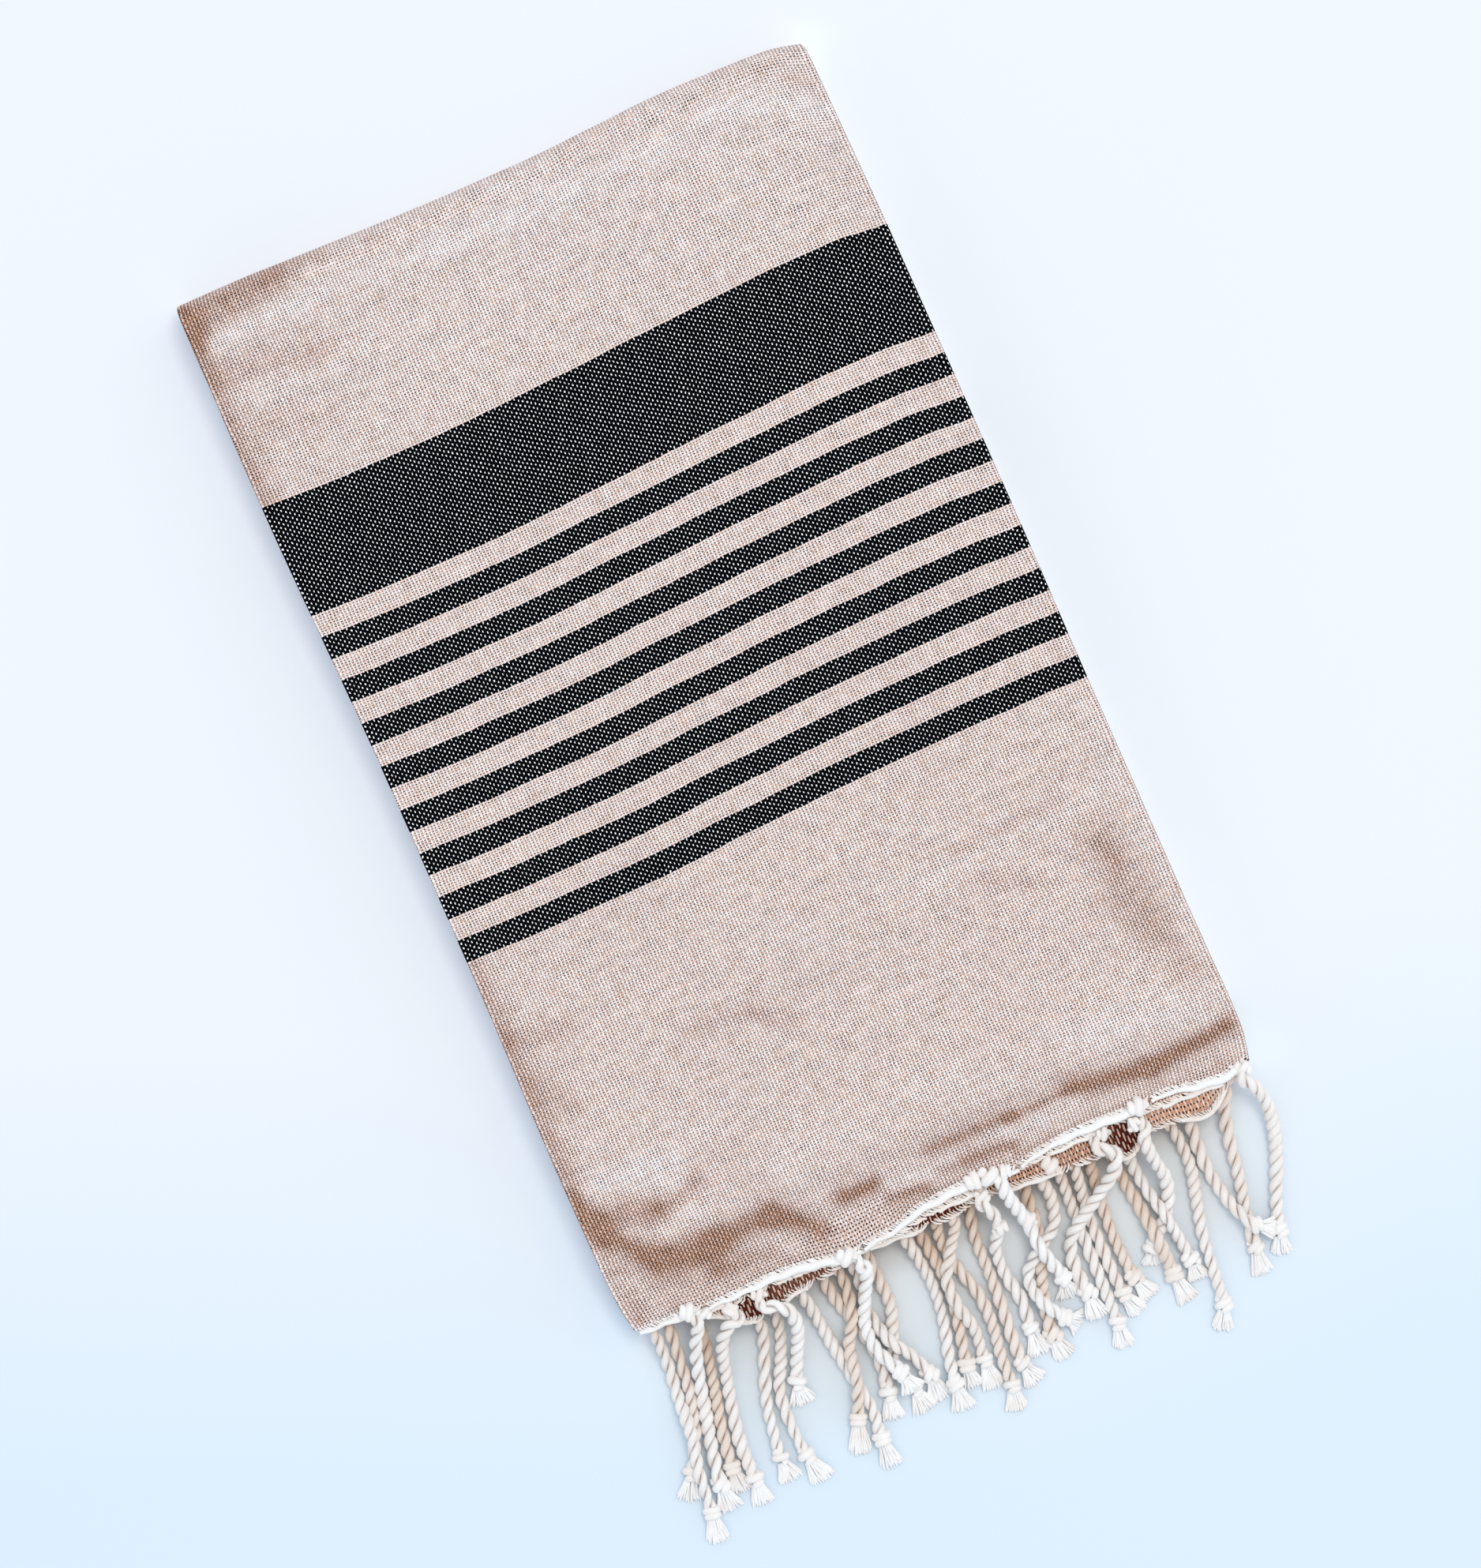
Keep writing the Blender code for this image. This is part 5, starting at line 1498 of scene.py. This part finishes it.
@dataclass
class Fringe:
    """One fringed end: its twisted cords, knots, brushes and the loose warp at its hems."""

    end: End
    pile: Pile
    laid: list
    cord_finish: CottonYarn = CottonYarn("twisted_cotton")
    loose_finish: CottonYarn = CottonYarn("loose_cotton", display(250, 250, 251), fibres=1.2, depth=0.05 * MM,
                                          streaks=(0.95, 1.05))
    rolled_finish: CottonYarn = CottonYarn("rolled_cotton", display(252, 252, 252), fibres=6.0,
                                           depth=0.12 * MM, streaks=(0.88, 1.08))
    end_pitch: float = 1.285
    hem_half: float = 123.0
    hem_floor: float = -212.0
    back_reach: float = 6.0
    # How stout the cords of the first layers are, and how much painted warm shade the cotton of each layer
    # gets.
    stout: tuple = (1.13, 1.06, 1.02)
    cord_warmth: tuple = (0.02, 0.07, 0.14, 0.32, 0.46, 0.54, 0.6, 0.64)
    yarn_warmth: tuple = (0.10, 0.22, 0.3, 0.45, 0.6, 0.6, 0.6, 0.6)
    roll_warmth: tuple = (0.02, 0.12, 0.22, 0.4, 0.55, 0.55, 0.55, 0.55)
    yarn_spacing: tuple = (0.6, 0.6, 1.0, 1.0, 2.0, 2.0, 2.0, 2.0)
    # Girth of a cord at its root and before its end knot, and how far from there it is full.
    girths: tuple = (0.55, 0.75)
    girth_reach: tuple = (3.5, 3.0)
    cord_height: float = 4.7
    cord_lift: float = 0.5
    stout_lift: float = 2.4
    end_knot_lift: float = 3.15
    cord_knot_lift: float = 3.2
    neck_lift: float = 2.3
    tip_lift: float = 1.1
    brush_length: float = 9.5
    # Thinnest and thickest roll of the topmost hem, and of those under it.
    top_roll: tuple = (0.8, 1.6)
    lower_roll: tuple = (0.25, 0.8)
    roll_growth: float = 0.3
    rolled_share: float = 0.45
    yarn_radius: float = 0.3
    # How a roll lies at its hem: how far out, less a share of its radius, and a wave's height and rate;
    # then how deep it is sunk, less a share of its radius, its step, and which threads it leaves out.
    roll_out: tuple = (0.9, 0.5, 0.35, 0.6)
    roll_sunk: tuple = (0.45, 0.4)
    roll_step: float = 2.0
    roll_apart: float = 0.8
    fewest_rolled: int = 3
    # How the painted warm shade of a cord fades from its root: reach and its growth by layer, shares, random
    # jitter and rate.
    warm_reach: tuple = (8.0, 3.0)
    warm_shares: tuple = (0.35, 0.9)
    warm_jitter: tuple = (0.12, 1.7)
    # Shares of the painted warm shade on end knots, brushes, cord knots and hem knots.
    knot_warmth: float = 0.6
    brush_warmth: float = 0.2
    cord_knot_warmth: float = 0.1
    hem_knot_warmth: tuple = (0.05, 0.1)
    hem_knot_lift: float = 1.0
    hem_knot_edge: float = -200.0
    # Waves along a cord: in girth, each a height and a length, and in the turn of its plies.
    girth_waves: tuple = ((0.05, 9.0), (0.03, 3.1))
    phase_wave: tuple = (0.12, 7.0)
    # Lowest and highest of what is drawn at random.
    wave_draw: tuple = (0, 6)
    girth_draw: tuple = (0.95, 1.04)
    pace_draw: tuple = (-0.016, 0.012)
    heading_draw: tuple = (0.15, 0.5)
    size_draw: tuple = (0.92, 1.05)
    stretch_draw: tuple = (0.95, 1.1)
    fan_draw: tuple = (0.85, 1.12)
    slip_draw: tuple = (-0.2, 0.2)
    yarn_draw: tuple = (0.85, 1.15)
    yarn_warmth_draw: tuple = (-0.1, 0.15)
    lean_shares: tuple = (0.0, 0.1, 0.35, 0.7, 1.0)
    lean_outs: tuple = (2.9, 2.1, 1.4, 0.8, 0.4)
    lean_rises: tuple = (0.0, 0.25, 0.35, 0.4, 0.1)
    lean_reach: tuple = (2.2, 5.0)
    seed: int = 5
    # Where the loose warp of each layer is gathered into a knot or a root.
    gathers: dict = field(default_factory=lambda: {
        0: (-103.5, -41, 14, 24, 79, 121), 1: (-118, -88, -77.5, -30, 12.5, 62, 104),
        2: (-120, -84, -62, -14, 42, 72, 104)})
    # Further knots at the hems: place, heading in degrees, size, stretch, roll, layer.
    hem_knots: tuple = (
        (-103.5, -206.3, -40, 1.05, 0.95, 0.4, 0), (-98.5, -209.5, -75, 0.85, 0.9, 2, 0),
        (-41.5, -211.5, -60, 1.1, 1.05, 1.2, 0), (13, -204.6, -15, 1, 1.1, 0.2, 0),
        (19, -205.6, -80, 1.15, 1.15, 1.7, 0), (24.5, -206.5, -25, 0.9, 0.9, 2.9, 0),
        (41.5, -211.5, -75, 0.95, 1.2, 0.7, 2), (64, -208.5, -40, 0.8, 1, 1.1, 1),
        (79.5, -204, -30, 1.05, 1.1, 0.9, 0), (75.5, -209.8, -5, 0.8, 1, 2.2, 0),
        (121, -207, -70, 0.85, 1.1, 1.9, 0), (-89, -212.5, -150, 0.85, 1.1, 0.3, 1),
        (-77, -211.5, -50, 0.8, 1.1, 1.4, 1), (13.5, -211.5, -80, 0.85, 1, 2.1, 1),
    )
    # Knots halfway down a cord: its root, place, heading in degrees, size.
    cord_knots: tuple = ((22.0, 25.8, -227.0, -70.0, 1.0), (12.5, 15.0, -225.5, -20.0, 0.9))

    def own(self) -> list[LaidCord]:
        """The cords of this end."""
        return [cord for cord in self.laid if cord.row.layer in self.end.layers]

    def warmth(self, cord: LaidCord) -> np.ndarray:
        """How much painted warm shade a cord's cotton gets along its run."""
        near = np.exp(-cord.at / (self.warm_reach[0] + self.warm_reach[1] * cord.row.layer))
        jitter = self.warm_jitter[0] * np.sin(cord.row.root * self.warm_jitter[1])
        share = self.warm_shares[0] + self.warm_shares[1] * near
        return np.clip(self.cord_warmth[cord.row.layer] * share + jitter, 0, 1)

    def cords(self, twist: PlyTwist, material: Material) -> Object:
        """Twist the cords from their roots to their end knots."""
        paths, girths, phases, warmths = [], [], [], []
        draw = np.random.default_rng(self.seed + len(self.end.word))
        for cord in self.own():
            last = cord.knot + 2
            at = cord.at[:last]
            stout = self.stout[min(cord.row.layer, 2)]
            half = np.minimum(cord.height, self.cord_height)[:last] / 2
            centre = cord.bottom[:last] + half + self.cord_lift + self.stout_lift * (stout - 1)
            paths.append(np.column_stack([cord.route[:last], centre]))
            places = [0.0, self.girth_reach[0], at[-1] - self.girth_reach[1], at[-1]]
            grown = np.interp(at, places, [self.girths[0], 1.0, 1.0, self.girths[1]])
            wander = 1.0
            for high, length in self.girth_waves:
                wander = wander + high * np.sin(at / length + draw.uniform(*self.wave_draw))
            girths.append(grown * wander * draw.uniform(*self.girth_draw) * stout)
            pace = draw.uniform(*self.pace_draw)
            start = draw.uniform(0, 1)
            high, length = self.phase_wave
            phases.append(start + at * pace + high * np.sin(at / length + draw.uniform(*self.wave_draw)))
            warmths.append(self.warmth(cord)[:last])
        seeds = Workbench.lines("cord_lines", paths, girth=girths, phase=phases, warmth=warmths)
        return twist.grow(f"{self.end.word}_cords", seeds, material)

    def knots(self, coil: KnotCoil, material: Material) -> Object:
        """Tie the end knots, the knots halfway down a cord and those at the hem."""
        draw = np.random.default_rng(self.seed + 10)
        rows = []
        for cord in self.own():
            n = cord.knot
            ahead = cord.route[min(n + 2, len(cord.route) - 1)] - cord.route[n - 3]
            aside = draw.choice((-1, 1)) * draw.uniform(*self.heading_draw)
            drawn = draw.uniform(*self.size_draw), draw.uniform(*self.stretch_draw), draw.uniform(0, 2 * pi)
            z, heading = cord.bottom[n] + self.end_knot_lift, np.arctan2(ahead[1], ahead[0]) + aside
            rows.append((*cord.route[n], z, heading, *drawn, self.warmth(cord)[n] * self.knot_warmth))
        for root, x, y, turn, size in self.cord_knots:
            for cord in self.own():
                if cord.row.root == root:
                    n = int(np.argmin(np.hypot(cord.route[:, 0] - x, cord.route[:, 1] - y)))
                    z = cord.bottom[n] + self.cord_knot_lift
                    drawn = draw.uniform(0, 2 * pi)
                    rows.append((x, y, z, radians(turn), size, 1.0, drawn, self.cord_knot_warmth))
        for x, y, turn, size, stretch, roll, layer in self.hem_knots:
            if layer in self.end.layers:
                top = self.pile.layer_top(x, min(y, self.hem_knot_edge), self.pile.index_of(layer))
                warmth = self.hem_knot_warmth[0] + self.hem_knot_warmth[1] * layer
                z = float(top) + self.hem_knot_lift
                rows.append((x, y, z, radians(turn), size, stretch, roll, warmth))
        seeds = Workbench.points("knot_points", rows, ("heading", "size", "stretch", "roll", "warmth"))
        return coil.grow(f"{self.end.word}_knots", seeds, material)

    def brushes(self, brush: Brush, material: Material) -> Object:
        """Spread the loose yarns beyond the end knots."""
        draw = np.random.default_rng(self.seed + 20)
        rows = []
        for cord in self.own():
            n = min(cord.knot + 3, len(cord.route) - 3)
            neck = cord.route[n]
            ahead = cord.route[-1] - neck
            rows.append((*neck, cord.bottom[n] + self.neck_lift, np.arctan2(ahead[1], ahead[0]),
                         np.linalg.norm(ahead) / self.brush_length, (cord.bottom[-1] + self.tip_lift) * MM,
                         draw.uniform(*self.fan_draw), self.warmth(cord)[-1] * self.brush_warmth))
        seeds = Workbench.points("brush_points", rows, ("heading", "reach", "tip", "fan", "warmth"))
        return brush.grow(f"{self.end.word}_brushes", seeds, material, Seed=self.seed + len(self.end.word))

    def spots(self, layer: int) -> tuple:
        """Places along the hem of a layer where its loose warp is gathered."""
        roots = sorted(cord.row.root for cord in self.own() if cord.row.layer == layer)
        return self.gathers.get(layer, tuple(roots))

    def gather_of(self, x: float, spots: Sequence) -> float:
        """The knot that a warp end runs to: most run to the next one on their right."""
        return next((spot for spot in spots if spot > x - self.back_reach), spots[-1])

    def hem_yarns(self, bundle: YarnBundle, material: Material) -> Object:
        """Gather the loose warp ends of each layer along its hem."""
        draw = np.random.default_rng(self.seed + 30)
        paths, girths, warmths = [], [], []
        for layer in self.end.layers:
            index, spots = self.pile.index_of(layer), self.spots(layer)
            for x in np.arange(-self.hem_half, self.hem_half, self.end_pitch * self.yarn_spacing[layer]):
                slipped = x + draw.uniform(*self.slip_draw)
                path = self.hem_path(slipped, self.gather_of(x, spots), index, draw)
                paths.append(path)
                girths.append(np.full(len(path), draw.uniform(*self.yarn_draw)))
                warmth = np.clip(self.yarn_warmth[layer] + draw.uniform(*self.yarn_warmth_draw), 0, 1)
                warmths.append(np.full(len(path), warmth))
        seeds = Workbench.lines("hem_lines", paths, girth=girths, warmth=warmths)
        return bundle.grow(f"{self.end.word}_hem_yarns", seeds, material)

    def hem_rolls(self, bundle: YarnBundle, material: Material) -> Object:
        """Roll the gathered warp of each layer along its hem, thicker towards each knot."""
        paths, girths, warmths = [], [], []
        out, less, high, rate = self.roll_out
        sunk, raised = self.roll_sunk
        for layer in self.end.layers:
            index, spots = self.pile.index_of(layer), self.spots(layer)
            ends = np.arange(-self.hem_half, self.hem_half, self.end_pitch)
            owner = np.array([self.gather_of(x, spots) for x in ends])
            for spot, side in [(spot, side) for spot in spots for side in (-1, 1)]:
                part = ends[(owner == spot) & ((ends - spot) * side > self.roll_apart)]
                if len(part) < self.fewest_rolled:
                    continue
                far = part[np.argmax(np.abs(part - spot))] - spot
                far *= self.rolled_share if layer else 1.0
                x = spot + far * np.linspace(1.0, 0.0, max(4, int(abs(far) / self.roll_step)))
                caught = np.array([np.sum(np.abs(part - spot) > abs(place - spot)) for place in x])
                limits = self.lower_roll if layer else self.top_roll
                radius = np.clip(self.roll_growth * np.sqrt(caught + 0.5), *limits)
                y = self.pile.hem_line(x, index) + out - less * radius + high * np.sin(x * rate + layer)
                z = self.pile.layer_top(x, np.maximum(y, self.hem_floor), index) - sunk + raised * radius
                paths.append(np.column_stack([x, y, z]))
                girths.append(radius / self.yarn_radius)
                warmths.append(np.full(len(x), self.roll_warmth[layer]))
        seeds = Workbench.lines("roll_lines", paths, girth=girths, warmth=warmths)
        return bundle.grow(f"{self.end.word}_hem_rolls", seeds, material, Sides=9, Frizz=0.05 * MM)

    def hem_path(self, x: float, spot: float, index: int, draw: np.random.Generator) -> np.ndarray:
        """Way of one warp end from the last pick to the knot that gathers it.

        Args:
            x: where it leaves the cloth.
            spot: where it is gathered.
            index: its layer, counted from the underside.
            draw: the source of small differences.

        Returns:
            Points in millimetres.
        """
        side = np.sign(spot - x) or 1.0
        far = min(abs(spot - x), draw.uniform(*self.lean_reach))
        line = []
        for share, out, rise in zip(self.lean_shares, self.lean_outs, self.lean_rises):
            place = x + side * far * share
            y = float(self.pile.hem_line(place, index)) + out
            z = float(self.pile.layer_top(place, max(y, self.hem_floor), index)) + rise
            line.append((place, y, z))
        return np.array(line)

    def build(self, twist: PlyTwist, coil: KnotCoil, brush: Brush, bundle: YarnBundle) -> list[Object]:
        """Build and dress all the pieces of this end.

        Args:
            twist, coil, brush, bundle: the node trees that grow the pieces.

        Returns:
            The pieces, the cords first.
        """
        firm, loose = self.cord_finish.material(), self.loose_finish.material()
        cords = self.cords(twist, firm)
        made = [cords, self.knots(coil, firm), self.brushes(brush, loose), self.hem_yarns(bundle, loose),
                self.hem_rolls(bundle, self.rolled_finish.material())]
        for piece in made:
            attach(piece, BODY)
        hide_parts(self.end.node)
        return made


@dataclass
class Studio:
    """The plain floor, the light and the camera over the towel."""

    floor_finish: FloorPaint
    turn: float = -23.88
    centre: tuple = (-6.51, -35.44)
    surface: float = 20.0
    frame_height: float = 579.9
    lens: float = 100.0
    sensor: float = 36.0
    furthest: float = 50.0
    floor_half: float = 4.0
    sky: tuple = display(241, 248, 255)
    sky_strength: float = 0.87
    key_colour: tuple = display(255, 244, 228)
    key_power: float = 60.0
    key_size: float = 1.8
    key_place: tuple = (1.0, 0.55, 4.2)

    def camera(self) -> Object:
        """Set the camera straight above, turned as in the photograph."""
        data = bpy.data.cameras.new("overhead_camera")
        data.lens, data.sensor_width, data.clip_end = self.lens, self.sensor, self.furthest
        made = Workbench.put("overhead_camera", data)
        height = self.surface + self.frame_height * self.lens / self.sensor
        made.location = (self.centre[0] * MM, self.centre[1] * MM, height * MM)
        made.rotation_euler = (0.0, 0.0, radians(self.turn))
        bpy.context.scene.camera = made
        return made

    def floor(self) -> Object:
        """Lay the floor."""
        half = self.floor_half
        corners = [(-half, -half, 0), (half, -half, 0), (half, half, 0), (-half, half, 0)]
        mesh = bpy.data.meshes.new("floor")
        mesh.from_pydata(corners, [], [(0, 1, 2, 3)])
        made = Workbench.place("floor", mesh, self.floor_finish.material())
        return made

    def light(self) -> None:
        """Light the towel with a pale sky and one large soft lamp that looks at it."""
        world = bpy.data.worlds.new("pale_sky")
        world.use_nodes = True
        sky = world.node_tree.nodes["Background"]
        sky.inputs["Color"].default_value = self.sky
        sky.inputs["Strength"].default_value = self.sky_strength
        bpy.context.scene.world = world
        data = bpy.data.lights.new("soft_key", "AREA")
        data.shape, data.size = "DISK", self.key_size
        data.color = self.key_colour[:3]
        data.energy = self.key_power
        lamp = Workbench.put("soft_key", data)
        x, y, z = self.key_place
        lamp.location = self.key_place
        lamp.rotation_euler = (0.0, np.arctan2(np.hypot(x, y), z), np.arctan2(y, x))

    @staticmethod
    def looks() -> None:
        """Show colours as a plain screen does."""
        view = bpy.context.scene.view_settings
        view.view_transform, view.look = "Standard", "None"
        view.exposure, view.gamma = 0.0, 1.0


def main() -> None:
    """Build the towel, its fringe and the studio."""
    logging.basicConfig(level=logging.INFO, format="%(name)s: %(message)s")
    studio = Studio(FloorPaint())
    studio.camera()
    studio.looks()
    pile = Pile()
    cloth = WovenCloth(pile, StripedWeave())
    sheet = cloth.build()
    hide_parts("folded_cloth")
    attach(sheet, BODY)
    LOG.info("%s: %d faces", sheet.name, len(sheet.data.polygons))
    laid = Layout(pile).lay_all()
    trees = (PlyTwist(), KnotCoil(), Brush(), YarnBundle())
    trims: list[Object] = []
    for end in End:
        trims += Fringe(end, pile, laid).build(*trees)
    for piece in trims:
        LOG.info("%s: %d faces", piece.name, len(piece.data.polygons))
    studio.floor()
    studio.light()


if __name__ == "__main__":
    main()
